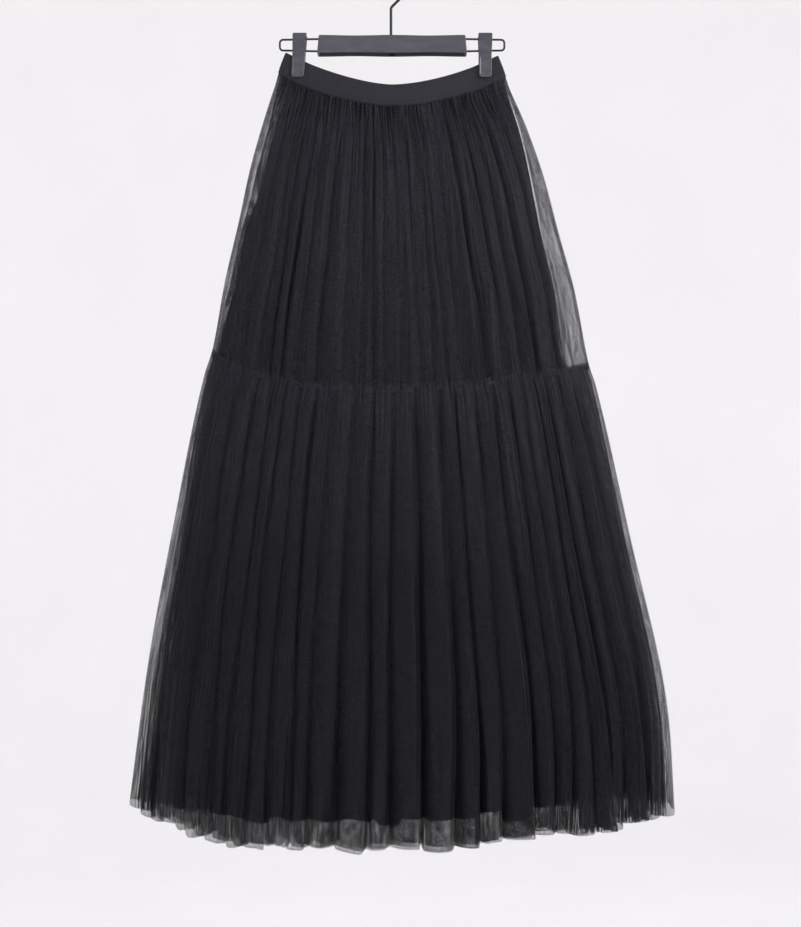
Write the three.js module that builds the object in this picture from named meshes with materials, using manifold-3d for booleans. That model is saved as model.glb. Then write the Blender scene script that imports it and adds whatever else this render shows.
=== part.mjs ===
// A two-tier tulle maxi skirt on a clip hanger, hung up flat by the hanger's hook.
// Millimetres, +Z up, front towards -Y. The origin is inside the top of the hook, where a rail carries it.
// Each panel is a wall that follows a closed oval section, with its gathers as waves along that section.
import * as THREE from "three";
import { mergeVertices } from "three/addons/utils/BufferGeometryUtils.js";
import Module from "manifold-3d";

const wasm = await Module();
wasm.setup();

// Driving dimensions of the cloth. A drop is measured down from the waistband's top edge.
const clearance = 0.3; // between pieces that touch
const waistTopZ = -146.5; // the waistband's top edge in the middle, where it sags lowest
const waistbandHeight = 26;
const waistbandWall = 2.4;
const tulleWall = 1.1; // the plies of net that lie on each other in a tier
const liningWall = 1.1;
const seamWall = 1.8; // the bunched seam allowance between the tiers
const seamInset = 3; // of its middle from the outermost folds
const seamTop = 351.4;
const seamHeight = 7.4;
const hemDrop = 878;
const liningJoins = [353, 600]; // where the lining's upper and middle parts end and the next is sewn on
const liningDrop = 850;

// The oval at each drop: half width to the outermost fold, half depth at its ends (flat) and what the
// middle adds to it (belly), the share of the width between the pinched ends (pinch), how square its
// ends are (square), and how far its centre lies from the hook (centre).
const sections = [
  { drop: 0, halfWidth: 122.8, flat: 3.8, belly: 11, pinch: 0.76, square: 8, centre: 1 },
  { drop: 26, halfWidth: 132.5, flat: 4.2, belly: 14, pinch: 0.74, square: 8, centre: 1.3 },
  { drop: 80, halfWidth: 152, flat: 13, belly: 18, pinch: 0.88, square: 5, centre: 2 },
  { drop: 200, halfWidth: 181, flat: 20, belly: 26, pinch: 0.95, square: 3.2, centre: 3.5 },
  { drop: 268, halfWidth: 201.5, flat: 25, belly: 28, pinch: 1, square: 2.8, centre: 9 },
  { drop: 355, halfWidth: 221, flat: 32, belly: 30, pinch: 1, square: 2.6, centre: 10.7 },
  { drop: 375, halfWidth: 228, flat: 35, belly: 30, pinch: 1, square: 2.6, centre: 11 },
  { drop: 550, halfWidth: 265, flat: 46, belly: 33, pinch: 1, square: 2.5, centre: 12.5 },
  { drop: 750, halfWidth: 303, flat: 56, belly: 36, pinch: 1, square: 2.4, centre: 16.5 },
  { drop: 878, halfWidth: 316.5, flat: 60, belly: 38, pinch: 1, square: 2.3, centre: 12.8 },
];
// How far each level's two ends are lifted above its middle, and how late the lift sets in (power).
const lifts = [
  { drop: 0, left: 39.4, leftPower: 1.6, right: 36, rightPower: 1.75 },
  { drop: 355, left: 44, leftPower: 3, right: 28.5, rightPower: 1.6 },
  { drop: 878, left: 37, leftPower: 4, right: 30, rightPower: 1.3 },
];
// How far the lining hangs inside the tulle, and how far it lies over to the left.
const liningPlaces = [
  { drop: 26, inset: 2.9, shift: 0 },
  { drop: 80, inset: 7.5, shift: 0 },
  { drop: 200, inset: 12, shift: -1.5 },
  { drop: 355, inset: 13, shift: -4 },
  { drop: 550, inset: 17, shift: -2 },
  { drop: 850, inset: 20, shift: 0 },
];
const bellyPower = 1.2;

// The gathers of each panel: how many, and at each drop their height (wave), how far they stand off the
// oval (lift) and how much they differ from each other (uneven).
const upperGathers = {
  count: 31,
  rows: [
    { drop: waistbandHeight + clearance, wave: 1.1, lift: 1, uneven: 0 },
    { drop: 70, wave: 2.4, lift: 1, uneven: 0.6 },
    { drop: 200, wave: 4.4, lift: 0, uneven: 1 },
    { drop: seamTop - clearance, wave: 3, lift: 0, uneven: 0.7 },
  ],
};
const lowerGathers = {
  count: 38,
  rows: [
    { drop: seamTop + seamHeight + clearance, wave: 2.2, lift: 0, uneven: 0.3 },
    { drop: 420, wave: 4.5, lift: 0, uneven: 0.8 },
    { drop: 720, wave: 6.3, lift: 0, uneven: 1 },
    { drop: hemDrop, wave: 7, lift: 0, uneven: 1 },
  ],
};
const liningFolds = 10; // in each panel of the lining
const upperLiningFolds = {
  count: liningFolds,
  rows: [
    { drop: waistbandHeight + clearance, wave: 0, lift: 0, uneven: 0 },
    { drop: 80, wave: 0.6, lift: 0, uneven: 1 },
    { drop: 200, wave: 1.5, lift: 0, uneven: 1 },
    { drop: liningJoins[0] - clearance / 2, wave: 2.2, lift: 0, uneven: 1 },
  ],
};
const middleLiningFolds = {
  count: liningFolds,
  rows: [
    { drop: liningJoins[0] + clearance / 2, wave: 2.2, lift: 0, uneven: 1 },
    { drop: liningJoins[1] - clearance / 2, wave: 2.6, lift: 0, uneven: 1 },
  ],
};
const lowerLiningFolds = {
  count: liningFolds,
  rows: [
    { drop: liningJoins[1] + clearance / 2, wave: 2.6, lift: 0, uneven: 1 },
    { drop: liningDrop, wave: 3, lift: 0, uneven: 1 },
  ],
};
const plain = (count, drops) => ({
  count,
  rows: drops.map((drop) => ({ drop, wave: 0, lift: 0, uneven: 0 })),
});
const waistbandRows = plain(12, [0, waistbandHeight]);
const seamRows = plain(12, [seamTop, seamTop + seamHeight]);
const stepsPerGather = 5;

// How much the gathers' spacing and height vary along a panel. Each term is a whole number of turns,
// so that both vanish at the side seams.
const spacingTerms = [
  { turns: 3, share: 0.009 },
  { turns: 7, share: 0.0045 },
  { turns: 11, share: 0.002 },
];
const heightTerms = [
  { turns: 4, share: 0.2 },
  { turns: 9, share: 0.2 },
  { turns: 14, share: 0.18 },
];

// Driving dimensions of the hanger.
const wireSides = 8;
const hookWire = 1.6; // the hook's wire, as a radius
const hookRadius = 23; // of the hook's round, at the middle of its wire
const hookStem = 34; // straight wire above the board
const hookTip = 205; // the angle at which the hook's round ends, in degrees
const hookDepth = 14; // of the stem in the board
const endWire = 1.2; // the wire of the two ends, as a radius
const hangerCentre = 1.3; // the board's middle, from the hook's stem
const hangerHalfLength = 131;
const endCorner = 4;
const endHeight = 12.6; // between the middles of its two wires at the tip
const mouthHeight = 14.2; // and where they enter the board
const endDepth = 24; // of the wires in the board
const endBelowTop = 9.7; // the ends' middle level, below the board's top
const board = { topHalf: 85.2, bottomHalf: 87.2, height: 20.4, thickness: 22, bevel: 0.8 };
const clip = {
  centre: 108.5, // from the board's middle
  topHalf: 8.2,
  bottomHalf: 7.4,
  height: 52,
  plate: 2.2,
  topY: 7.4, // the inner face of the levers at their top
  pivotY: 5, // and beside the spring
  round: 4, // of the jaw's lower corners
  boss: 3.2, // half height of the part that half surrounds the wire
  web: 1.2, // how much wider its root is
};
const springRadius = 2.9;

const hookTopZ = hookWire;
const bendZ = hookTopZ - hookRadius * (1 + Math.SQRT2);
const boardTopZ = bendZ - hookStem;
const endMiddleZ = boardTopZ - endBelowTop;
const wireLowZ = endMiddleZ - mouthHeight / 2;
const wireHighZ = endMiddleZ + mouthHeight / 2;
const clipTopZ = boardTopZ + 2.7;

// The value of a column at a drop, along a smooth curve through the table's rows.
function column(table, name, drop) {
  const last = table.length - 2;
  let i = 0;
  while (i < last && drop > table[i + 1].drop) i += 1;
  const [a, b] = [table[i], table[i + 1]];
  const before = table[Math.max(i - 1, 0)];
  const after = table[Math.min(i + 2, table.length - 1)];
  const span = b.drop - a.drop;
  const t = THREE.MathUtils.clamp((drop - a.drop) / span, 0, 1);
  const slope = (p, q) => (q.drop > p.drop ? (q[name] - p[name]) / (q.drop - p.drop) : 0);
  const chord = slope(a, b);
  const start = i === 0 ? chord : blend(slope(before, a), chord);
  const end = i === last ? chord : blend(chord, slope(b, after));
  const t2 = t * t;
  const t3 = t2 * t;
  return (
    (2 * t3 - 3 * t2 + 1) * a[name] +
    (t3 - 2 * t2 + t) * start * span +
    (3 * t2 - 2 * t3) * b[name] +
    (t3 - t2) * end * span
  );
}

// The slope at a row: the harmonic mean of its neighbours', or level where they disagree, so that
// nothing overshoots.
function blend(p, q) {
  return p * q <= 0 ? 0 : (2 * p * q) / (p + q);
}

// Half of the oval at a drop, as a function that gives the point at a share u of its length, from its
// left end to its right end. inset draws the oval in, lift swells it, and y is taken as positive.
function halfOval(drop, inset, lift, samples = 1200) {
  const value = (name) => column(sections, name, drop);
  const a = value("halfWidth") - inset;
  const flat = value("flat") - inset + lift;
  const reach = a * value("pinch");
  const power = value("square");
  const line = [];
  for (let i = 0; i <= samples; i += 1) {
    const x = -a * Math.cos((Math.PI * i) / samples);
    const end = Math.max(0, 1 - Math.abs(x / a) ** power) ** (1 / power);
    const middle = Math.max(0, 1 - (x / reach) ** 2) ** bellyPower;
    line.push(new THREE.Vector2(x, flat * end + value("belly") * middle));
  }
  const along = [0];
  for (let i = 1; i <= samples; i += 1) along.push(along[i - 1] + line[i].distanceTo(line[i - 1]));
  return (u) => {
    const wanted = THREE.MathUtils.clamp(u, 0, 1) * along[samples];
    let low = 0;
    let high = samples;
    while (high - low > 1) {
      const mid = (low + high) >> 1;
      if (along[mid] <= wanted) low = mid;
      else high = mid;
    }
    const t = (wanted - along[low]) / (along[high] - along[low]);
    return line[low].clone().lerp(line[high], t);
  };
}

// A sum of whole turns along the panel, zero at both side seams.
function ripple(terms, u) {
  return terms.reduce((sum, term) => sum + term.share * Math.sin(2 * Math.PI * term.turns * u), 0);
}

// The wall's middle line at one row of a panel: the oval, moved out and in by the gathers.
// side is -1 for the front and 1 for the back.
function middleLine(row, gathers, inset, side) {
  const oval = halfOval(row.drop, inset + row.wave, row.lift);
  const steps = gathers.count * stepsPerGather;
  const points = [];
  for (let i = 0; i <= steps; i += 1) {
    const even = i / steps;
    const u = even + ripple(spacingTerms, even);
    const near = 1 / (steps * 4);
    const ahead = oval(Math.min(u + near, 1));
    const behind = oval(Math.max(u - near, 0));
    const out = new THREE.Vector2(behind.y - ahead.y, ahead.x - behind.x).normalize();
    if (i === 0) out.set(-1, 0);
    if (i === steps) out.set(1, 0);
    const height = row.wave * (1 + row.uneven * ripple(heightTerms, even));
    const p = oval(u).addScaledVector(out, height * Math.cos(2 * Math.PI * gathers.count * even));
    points.push(new THREE.Vector2(p.x, side * p.y));
  }
  return points;
}

// How high the cloth at a drop hangs above its own middle, at a distance x from that middle.
function liftAt(drop, x) {
  const share = Math.abs(x) / column(sections, "halfWidth", drop);
  const end = x < 0 ? "left" : "right";
  return column(lifts, end, drop) * share ** column(lifts, `${end}Power`, drop);
}

// A closed wall between an outer and an inner grid of points, rows from the top down.
function wallGeometry(outer, inner, side) {
  const rows = outer.length;
  const columns = outer[0].length;
  const positions = [...outer.flat(), ...inner.flat()].flatMap((p) => [p.x, p.y, p.z]);
  const index = [];
  const at = (layer, r, c) => layer * rows * columns + r * columns + c;
  const quad = (a, b, c, d) => {
    if (side > 0) index.push(a, c, b, a, d, c);
    else index.push(a, b, c, a, c, d);
  };
  for (let r = 0; r < rows - 1; r += 1) {
    for (let c = 0; c < columns - 1; c += 1) {
      quad(at(0, r, c), at(0, r + 1, c), at(0, r + 1, c + 1), at(0, r, c + 1));
      quad(at(1, r, c), at(1, r, c + 1), at(1, r + 1, c + 1), at(1, r + 1, c));
    }
    quad(at(0, r, 0), at(1, r, 0), at(1, r + 1, 0), at(0, r + 1, 0));
    const c = columns - 1;
    quad(at(0, r, c), at(0, r + 1, c), at(1, r + 1, c), at(1, r, c));
  }
  for (let c = 0; c < columns - 1; c += 1) {
    quad(at(0, 0, c), at(0, 0, c + 1), at(1, 0, c + 1), at(1, 0, c));
    const r = rows - 1;
    quad(at(0, r, c), at(1, r, c), at(1, r, c + 1), at(0, r, c + 1));
  }
  const geometry = new THREE.BufferGeometry();
  geometry.setAttribute("position", new THREE.Float32BufferAttribute(positions, 3));
  geometry.setIndex(index);
  geometry.computeVertexNormals();
  return geometry;
}

// One cut panel, front or back, from the side seam at -X to the one at +X.
function panel({ gathers, wall, inset, shift }, side) {
  const outer = [];
  const inner = [];
  for (const row of gathers.rows) {
    const line = middleLine(row, gathers, inset(row.drop), side);
    const steps = line.length - 1;
    const centre = column(sections, "centre", row.drop) + shift(row.drop);
    const place = (c, offset) => {
      const ahead = line[Math.min(c + 1, steps)];
      const behind = line[Math.max(c - 1, 0)];
      const out = new THREE.Vector2(behind.y - ahead.y, ahead.x - behind.x).multiplyScalar(side).normalize();
      if (c === 0) out.set(-1, 0);
      if (c === steps) out.set(1, 0);
      const p = line[c].clone().addScaledVector(out, offset);
      const z = waistTopZ + liftAt(row.drop, p.x) - row.drop;
      return new THREE.Vector3(p.x + centre, p.y + (side * clearance) / 2, z);
    };
    outer.push(line.map((_, c) => place(c, wall / 2)));
    inner.push(line.map((_, c) => place(c, -wall / 2)));
  }
  return wallGeometry(outer, inner, side);
}

// A round bar along points that lie in the XZ plane, with a flat cut at each end.
function wire(points, radius) {
  const last = points.length - 1;
  const positions = [];
  const index = [];
  const at = (i, k) => i * wireSides + (k % wireSides);
  points.forEach((p, i) => {
    const along = points[Math.min(i + 1, last)].clone().sub(points[Math.max(i - 1, 0)]).normalize();
    for (let k = 0; k < wireSides; k += 1) {
      const angle = (2 * Math.PI * (k + 0.5)) / wireSides;
      const out = radius * Math.cos(angle);
      positions.push(p.x - along.y * out, radius * Math.sin(angle), p.y + along.x * out);
    }
  });
  for (let i = 0; i < last; i += 1) {
    for (let k = 0; k < wireSides; k += 1) {
      index.push(at(i, k), at(i + 1, k + 1), at(i, k + 1), at(i, k), at(i + 1, k), at(i + 1, k + 1));
    }
  }
  for (let k = 1; k < wireSides - 1; k += 1) {
    index.push(at(0, 0), at(0, k), at(0, k + 1));
    index.push(at(last, 0), at(last, k + 1), at(last, k));
  }
  const geometry = new THREE.BufferGeometry();
  geometry.setAttribute("position", new THREE.Float32BufferAttribute(positions, 3));
  geometry.setIndex(index);
  geometry.computeVertexNormals();
  return geometry;
}

// Points on an arc in the XZ plane, angles in degrees.
function arc(x, z, radius, from, to, steps) {
  return Array.from({ length: steps + 1 }, (_, i) => {
    const angle = THREE.MathUtils.degToRad(from + ((to - from) * i) / steps);
    return new THREE.Vector2(x + radius * Math.cos(angle), z + radius * Math.sin(angle));
  });
}

// One end of the hanger: a U of wire, both of whose legs run into the board. towards is -1 or 1.
function endPoints(towards) {
  const tip = hangerHalfLength - endCorner;
  const high = endMiddleZ + endHeight / 2 - endCorner;
  const low = endMiddleZ - endHeight / 2 + endCorner;
  const mouth = board.topHalf;
  const inside = mouth - endDepth;
  const points = [
    new THREE.Vector2(inside, wireHighZ),
    new THREE.Vector2(mouth, wireHighZ),
    ...arc(tip, high, endCorner, 90, 0, 4),
    ...arc(tip, low, endCorner, 0, -90, 4),
    new THREE.Vector2(mouth, wireLowZ),
    new THREE.Vector2(inside, wireLowZ),
  ];
  const placed = points.map((p) => new THREE.Vector2(hangerCentre + towards * p.x, p.y));
  return towards < 0 ? placed.reverse() : placed;
}

// The hook's wire: up out of the board, aside at 45 degrees, and round over the top.
function hookPoints() {
  return [
    new THREE.Vector2(0, boardTopZ - hookDepth),
    new THREE.Vector2(0, bendZ - 2),
    new THREE.Vector2(1, bendZ + 1.4),
    ...arc(0, hookTopZ - hookRadius, hookRadius, -45, hookTip, 20),
  ];
}

function toSolid(geometry) {
  const bare = geometry.clone();
  bare.deleteAttribute("normal");
  bare.deleteAttribute("uv");
  const merged = mergeVertices(bare, 1e-4);
  return new wasm.Manifold(
    new wasm.Mesh({
      numProp: 3,
      vertProperties: merged.attributes.position.array,
      triVerts: new Uint32Array(merged.index.array),
    }),
  );
}

function toGeometry(solid) {
  const mesh = solid.getMesh();
  const geometry = new THREE.BufferGeometry();
  geometry.setAttribute("position", new THREE.Float32BufferAttribute(mesh.vertProperties, 3));
  geometry.setIndex(Array.from(mesh.triVerts));
  geometry.computeVertexNormals();
  return geometry;
}

// The space that the hanger's wires need, with the clearance round them.
function wireSockets() {
  const socket = (points, radius) => toSolid(wire(points, radius + clearance));
  const ends = [-1, 1].map((towards) => socket(endPoints(towards), endWire));
  return socket(hookPoints(), hookWire).add(ends[0]).add(ends[1]);
}

// An outline given as [x, z] points, extruded along Y and centred on it.
function plateAlongY(points, thickness, bevel = 0) {
  const shape = new THREE.Shape(points.map(([x, z]) => new THREE.Vector2(x, z)));
  const geometry = new THREE.ExtrudeGeometry(shape, {
    depth: thickness - 2 * bevel,
    bevelEnabled: bevel > 0,
    bevelThickness: bevel,
    bevelSize: bevel,
    bevelOffset: -bevel,
    bevelSegments: 1,
  });
  geometry.translate(0, 0, -thickness / 2 + bevel);
  return geometry.rotateX(Math.PI / 2);
}

// An outline given as [y, z] points, extruded along X and centred on it.
function plateAlongX(points, thickness) {
  const shape = new THREE.Shape(points.map(([y, z]) => new THREE.Vector2(y, z)));
  const geometry = new THREE.ExtrudeGeometry(shape, { depth: thickness, bevelEnabled: false });
  geometry.translate(0, 0, -thickness / 2);
  return geometry.rotateZ(Math.PI / 2).rotateY(Math.PI / 2);
}

// The board across the middle, with sockets for the two ends' legs and the hook's stem.
function boardSolid() {
  const outline = [
    [-board.topHalf, 0],
    [-board.bottomHalf, -board.height],
    [board.bottomHalf, -board.height],
    [board.topHalf, 0],
  ];
  const body = plateAlongY(outline, board.thickness, board.bevel);
  return toSolid(body.translate(hangerCentre, 0, boardTopZ)).subtract(wireSockets());
}

// One lever of a clip: a plate with a jaw below and a boss that half surrounds the lower wire.
function leverSolid(centreX, side) {
  const jawY = sections[1].flat + waistbandWall / 2 + 1.5 * clearance;
  const bossY = clearance / 2;
  const bottomZ = clipTopZ - clip.height;
  const { topHalf, bottomHalf, round, plate, topY, pivotY, boss, web } = clip;
  const profile = [
    [topY + plate, clipTopZ],
    [pivotY + plate, wireLowZ + boss],
    [jawY + plate, bottomZ],
    [jawY, bottomZ],
    [jawY, wireLowZ - boss - 2 * web],
    [pivotY, wireLowZ - boss - web],
    [bossY, wireLowZ - boss],
    [bossY, wireLowZ + boss],
    [pivotY, wireLowZ + boss + web],
    [pivotY, wireHighZ],
    [topY, clipTopZ],
  ].map(([y, z]) => [side * y, z]);
  if (side > 0) profile.reverse();
  const rightHalf = [
    [topHalf, clipTopZ],
    [bottomHalf, bottomZ + round],
    [bottomHalf * 0.8, bottomZ + round / 3],
    [bottomHalf * 0.4, bottomZ],
  ];
  const leftHalf = rightHalf.map(([x, z]) => [-x, z]).reverse();
  const outline = [...rightHalf, ...leftHalf].reverse();
  const lever = toSolid(plateAlongX(profile, 2 * topHalf + clearance));
  const cut = toSolid(plateAlongY(outline, 4 * (topY + plate)));
  return lever.intersect(cut).translate([centreX, 0, 0]).subtract(wireSockets());
}

const finishes = {
  net: new THREE.MeshStandardMaterial({ color: 0x1b1b1f, roughness: 0.85, metalness: 0 }),
  lining: new THREE.MeshStandardMaterial({ color: 0x141416, roughness: 0.8, metalness: 0 }),
  waistband: new THREE.MeshStandardMaterial({ color: 0x26262b, roughness: 0.9, metalness: 0 }),
  plastic: new THREE.MeshStandardMaterial({ color: 0x47474f, roughness: 0.45, metalness: 0 }),
  steel: new THREE.MeshStandardMaterial({ color: 0x151518, roughness: 0.35, metalness: 0.6 }),
};

const skirtOnHanger = new THREE.Group();

function addPiece(name, geometry, finish) {
  const mesh = new THREE.Mesh(geometry, finish);
  mesh.name = name;
  skirtOnHanger.add(mesh);
}

const { net, lining, waistband } = finishes;
const onOval = { inset: () => 0, shift: () => 0 };
const insideOval = {
  inset: (drop) => column(liningPlaces, "inset", drop),
  shift: (drop) => column(liningPlaces, "shift", drop),
};
const cloth = [
  { name: "waistband", gathers: waistbandRows, wall: waistbandWall, ...onOval, finish: waistband },
  { name: "upper_tier", gathers: upperGathers, wall: tulleWall, ...onOval, finish: net },
  { name: "tier_seam", gathers: seamRows, wall: seamWall, ...onOval, inset: () => seamInset, finish: net },
  { name: "lower_tier", gathers: lowerGathers, wall: tulleWall, ...onOval, finish: net },
  { name: "lining_upper", gathers: upperLiningFolds, wall: liningWall, ...insideOval, finish: lining },
  { name: "lining_middle", gathers: middleLiningFolds, wall: liningWall, ...insideOval, finish: lining },
  { name: "lining_lower", gathers: lowerLiningFolds, wall: liningWall, ...insideOval, finish: lining },
];
const sides = [
  { name: "front", side: -1 },
  { name: "back", side: 1 },
];
for (const piece of cloth) {
  for (const { name: sideName, side } of sides) {
    addPiece(`${piece.name}_${sideName}`, panel(piece, side), piece.finish);
  }
}

addPiece("hanger_hook", wire(hookPoints(), hookWire), finishes.steel);
addPiece("hanger_end_left", wire(endPoints(-1), endWire), finishes.steel);
addPiece("hanger_end_right", wire(endPoints(1), endWire), finishes.steel);
addPiece("hanger_board", toGeometry(boardSolid()), finishes.plastic);
for (const [name, towards] of [["clip_left", -1], ["clip_right", 1]]) {
  const x = hangerCentre + towards * clip.centre;
  for (const { name: sideName, side } of sides) {
    addPiece(`${name}_${sideName}`, toGeometry(leverSolid(x, side)), finishes.plastic);
  }
  const spring = new THREE.CylinderGeometry(springRadius, springRadius, 2 * (clip.pivotY - clearance), 10);
  spring.translate(x, 0, endMiddleZ + 1.2);
  addPiece(`${name}_spring`, spring, finishes.steel);
}

export default skirtOnHanger;
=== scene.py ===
"""A two-tier tulle skirt on a clip hanger: net plies, lining, waistband, hanger and studio."""

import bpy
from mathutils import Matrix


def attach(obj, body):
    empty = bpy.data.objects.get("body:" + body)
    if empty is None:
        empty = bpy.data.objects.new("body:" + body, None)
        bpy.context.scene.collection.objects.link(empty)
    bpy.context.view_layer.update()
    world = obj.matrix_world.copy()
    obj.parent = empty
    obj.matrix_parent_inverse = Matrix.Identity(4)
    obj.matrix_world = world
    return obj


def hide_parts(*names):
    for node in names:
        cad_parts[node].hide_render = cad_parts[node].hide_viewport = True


bl_info = {
    "name": "Tulle skirt on a clip hanger",
    "version": (1, 0, 0),
    "blender": (4, 5, 0),
    "location": "View3D > Sidebar > Skirt",
    "description": "Builds the net plies, lining, waistband, hanger and studio of a two-tier skirt",
    "category": "Object",
}

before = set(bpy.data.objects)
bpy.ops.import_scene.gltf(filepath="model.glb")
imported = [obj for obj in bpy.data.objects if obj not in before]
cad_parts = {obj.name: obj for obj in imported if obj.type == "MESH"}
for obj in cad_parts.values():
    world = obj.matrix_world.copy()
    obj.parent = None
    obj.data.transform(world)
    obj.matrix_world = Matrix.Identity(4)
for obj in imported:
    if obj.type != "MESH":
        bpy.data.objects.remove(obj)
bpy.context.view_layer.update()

import math

import bmesh
import bpy
import numpy as np

MM = 0.001

# The skirt's shape, in millimetres. A drop is measured down from the waistband's top edge.
WAIST_TOP_Z = -146.5
WAISTBAND_HEIGHT = 26.0
WAISTBAND_HALF_WALL = 1.2
STITCH_DROP = 22.8
SEAM_TOP = 351.4
SEAM_HEIGHT = 7.4
# How much higher the hem hangs at the back.
BACK_RISE = 7.0
# How far a fold's hem may end above or below its neighbours', and the seed of these lengths.
HEM_STEP = 5.5
HEM_SEED = 1192
# The last rings of a ply as shares of its height. They lie close, so that its edge is drawn sharp.
HEM_EDGE_LEVELS = [0.9955, 0.9975, 1.0]

# The oval at each drop: half width to the outermost fold, half depth at its ends (flat), what the
# middle adds to it (belly), the share of the width between the pinched ends (pinch), how square the
# ends are (square), and how far the centre lies from the hook (centre).
SECTION_DROPS = np.array([0, 26, 80, 140, 200, 268, 355, 375, 550, 750, 878], float)
SECTIONS = {
    "half_width": np.array([122.8, 132.5, 153.5, 172.5, 187, 204.5, 221.5, 228, 266, 306, 320]),
    "flat": np.array([3.8, 4.2, 13, 16.5, 20, 25, 32, 35, 46, 56, 60]),
    "belly": np.array([11.0, 14, 18, 22, 26, 28, 30, 30, 33, 36, 38]),
    "pinch": np.array([0.76, 0.74, 0.88, 0.92, 0.95, 1, 1, 1, 1, 1, 1]),
    "square": np.array([8, 8, 5, 4, 3.2, 2.8, 2.6, 2.6, 2.5, 2.4, 2.3]),
    "centre": np.array([1, 1.3, 4.5, 7, 8.8, 10.5, 11, 11, 12.5, 16.5, 12.8]),
}
# How far a level's two ends are lifted above its middle, and how late the lift sets in (power).
LIFT_DROPS = np.array([0, 355, 878], float)
LIFTS = {
    "left": np.array([39.4, 44, 37]),
    "left_power": np.array([1.6, 3, 3.8]),
    "right": np.array([36, 28.5, 30]),
    "right_power": np.array([1.75, 1.6, 1.3]),
}

# The main creases: share of the half width at the tier's top and at its bottom, depth at the top and at the
# bottom as a share of the usual depth, and how far the ridge leans over.
UPPER_FRONT = [
    (-1.08, -1.08, 0.5, 0.6, 0.0),
    (-0.93, -0.93, 0.4, 0.7, -0.3),
    (-0.82, -0.81, 0.9, 1.0, 0.1),
    (-0.66, -0.655, 1.9, 2.1, 0.5),
    (-0.50, -0.505, 1.5, 1.2, 0.4),
    (-0.385, -0.38, 1.1, 0.9, 0.2),
    (-0.19, -0.185, 1.2, 0.8, 0.2),
    (-0.13, -0.13, 1.0, 0.7, 0.1),
    (0.05, 0.06, 0.9, 0.9, 0.0),
    (0.20, 0.21, 0.8, 0.9, 0.1),
    (0.385, 0.39, 1.9, 1.9, 0.5),
    (0.52, 0.525, 1.7, 0.7, 0.4),
    (0.69, 0.705, 1.7, 2.1, 0.6),
    (0.82, 0.81, 1.0, 1.1, 0.3),
    (0.93, 0.93, 0.3, 0.4, 0.3),
    (1.08, 1.08, 0.4, 0.4, 0.0),
]
UPPER_BACK = [
    (1.0, 1.0, 0.9, 1.1, 0.3),
    (0.80, 0.79, 1.5, 1.7, 0.4),
    (0.61, 0.60, 1.1, 0.9, 0.1),
    (0.44, 0.45, 1.8, 1.9, 0.5),
    (0.27, 0.28, 1.0, 0.8, 0.2),
    (0.10, 0.08, 1.4, 1.2, 0.3),
    (-0.07, -0.08, 0.9, 1.0, 0.1),
    (-0.29, -0.30, 1.7, 1.9, 0.5),
    (-0.46, -0.45, 1.2, 0.8, 0.2),
    (-0.58, -0.60, 1.5, 1.7, 0.4),
    (-0.79, -0.78, 1.2, 1.3, 0.3),
    (-0.99, -1.0, 1.0, 1.2, 0.3),
]
LOWER_FRONT = [
    (-1.1, -1.1, 1.0, 1.0, 0.0),
    (-0.90, -0.90, 0.9, 1.1, 0.0),
    (-0.79, -0.79, 1.4, 1.6, 0.4),
    (-0.62, -0.63, 1.1, 1.2, 0.2),
    (-0.46, -0.46, 1.5, 1.7, 0.4),
    (-0.30, -0.31, 1.0, 1.2, 0.2),
    (-0.165, -0.165, 1.3, 1.5, 0.3),
    (0.02, 0.022, 1.8, 1.9, 0.6),
    (0.15, 0.15, 1.0, 1.1, 0.1),
    (0.245, 0.25, 1.5, 1.6, 0.4),
    (0.445, 0.44, 1.5, 1.7, 0.5),
    (0.60, 0.60, 1.1, 1.2, 0.2),
    (0.74, 0.745, 1.7, 1.8, 0.6),
    (0.88, 0.885, 1.6, 1.6, 0.5),
    (1.1, 1.1, 1.0, 1.0, 0.0),
]
LOWER_BACK = [
    (1.0, 1.0, 0.9, 1.1, 0.1),
    (0.84, 0.84, 1.5, 1.6, 0.4),
    (0.69, 0.68, 1.0, 1.2, 0.2),
    (0.53, 0.53, 1.6, 1.8, 0.5),
    (0.36, 0.36, 1.1, 1.3, 0.2),
    (0.22, 0.21, 1.5, 1.5, 0.3),
    (0.03, 0.02, 1.3, 1.5, 0.4),
    (-0.12, -0.13, 1.1, 1.2, 0.1),
    (-0.28, -0.28, 1.7, 1.8, 0.5),
    (-0.45, -0.45, 1.0, 1.2, 0.2),
    (-0.60, -0.61, 1.6, 1.7, 0.5),
    (-0.77, -0.77, 1.2, 1.3, 0.3),
    (-0.99, -1.0, 1.1, 1.2, 0.2),
]

# What all plies of a tier share: the main creases of the front and the back, the spacing of the lesser
# folds between them as a share of the half width, these folds' least and most depth at the top and
# then at the bottom, and the seed of their places.
UPPER_FOLDS = {
    "creases": (UPPER_FRONT, UPPER_BACK),
    "spacing": 0.1,
    "lesser": (0.05, 0.3, 0.1, 0.5),
    "crease_seed": 200,
}
LOWER_FOLDS = {
    "creases": (LOWER_FRONT, LOWER_BACK),
    "spacing": 0.09,
    "lesser": (0.3, 0.8, 0.35, 0.9),
    "crease_seed": 300,
}

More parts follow.
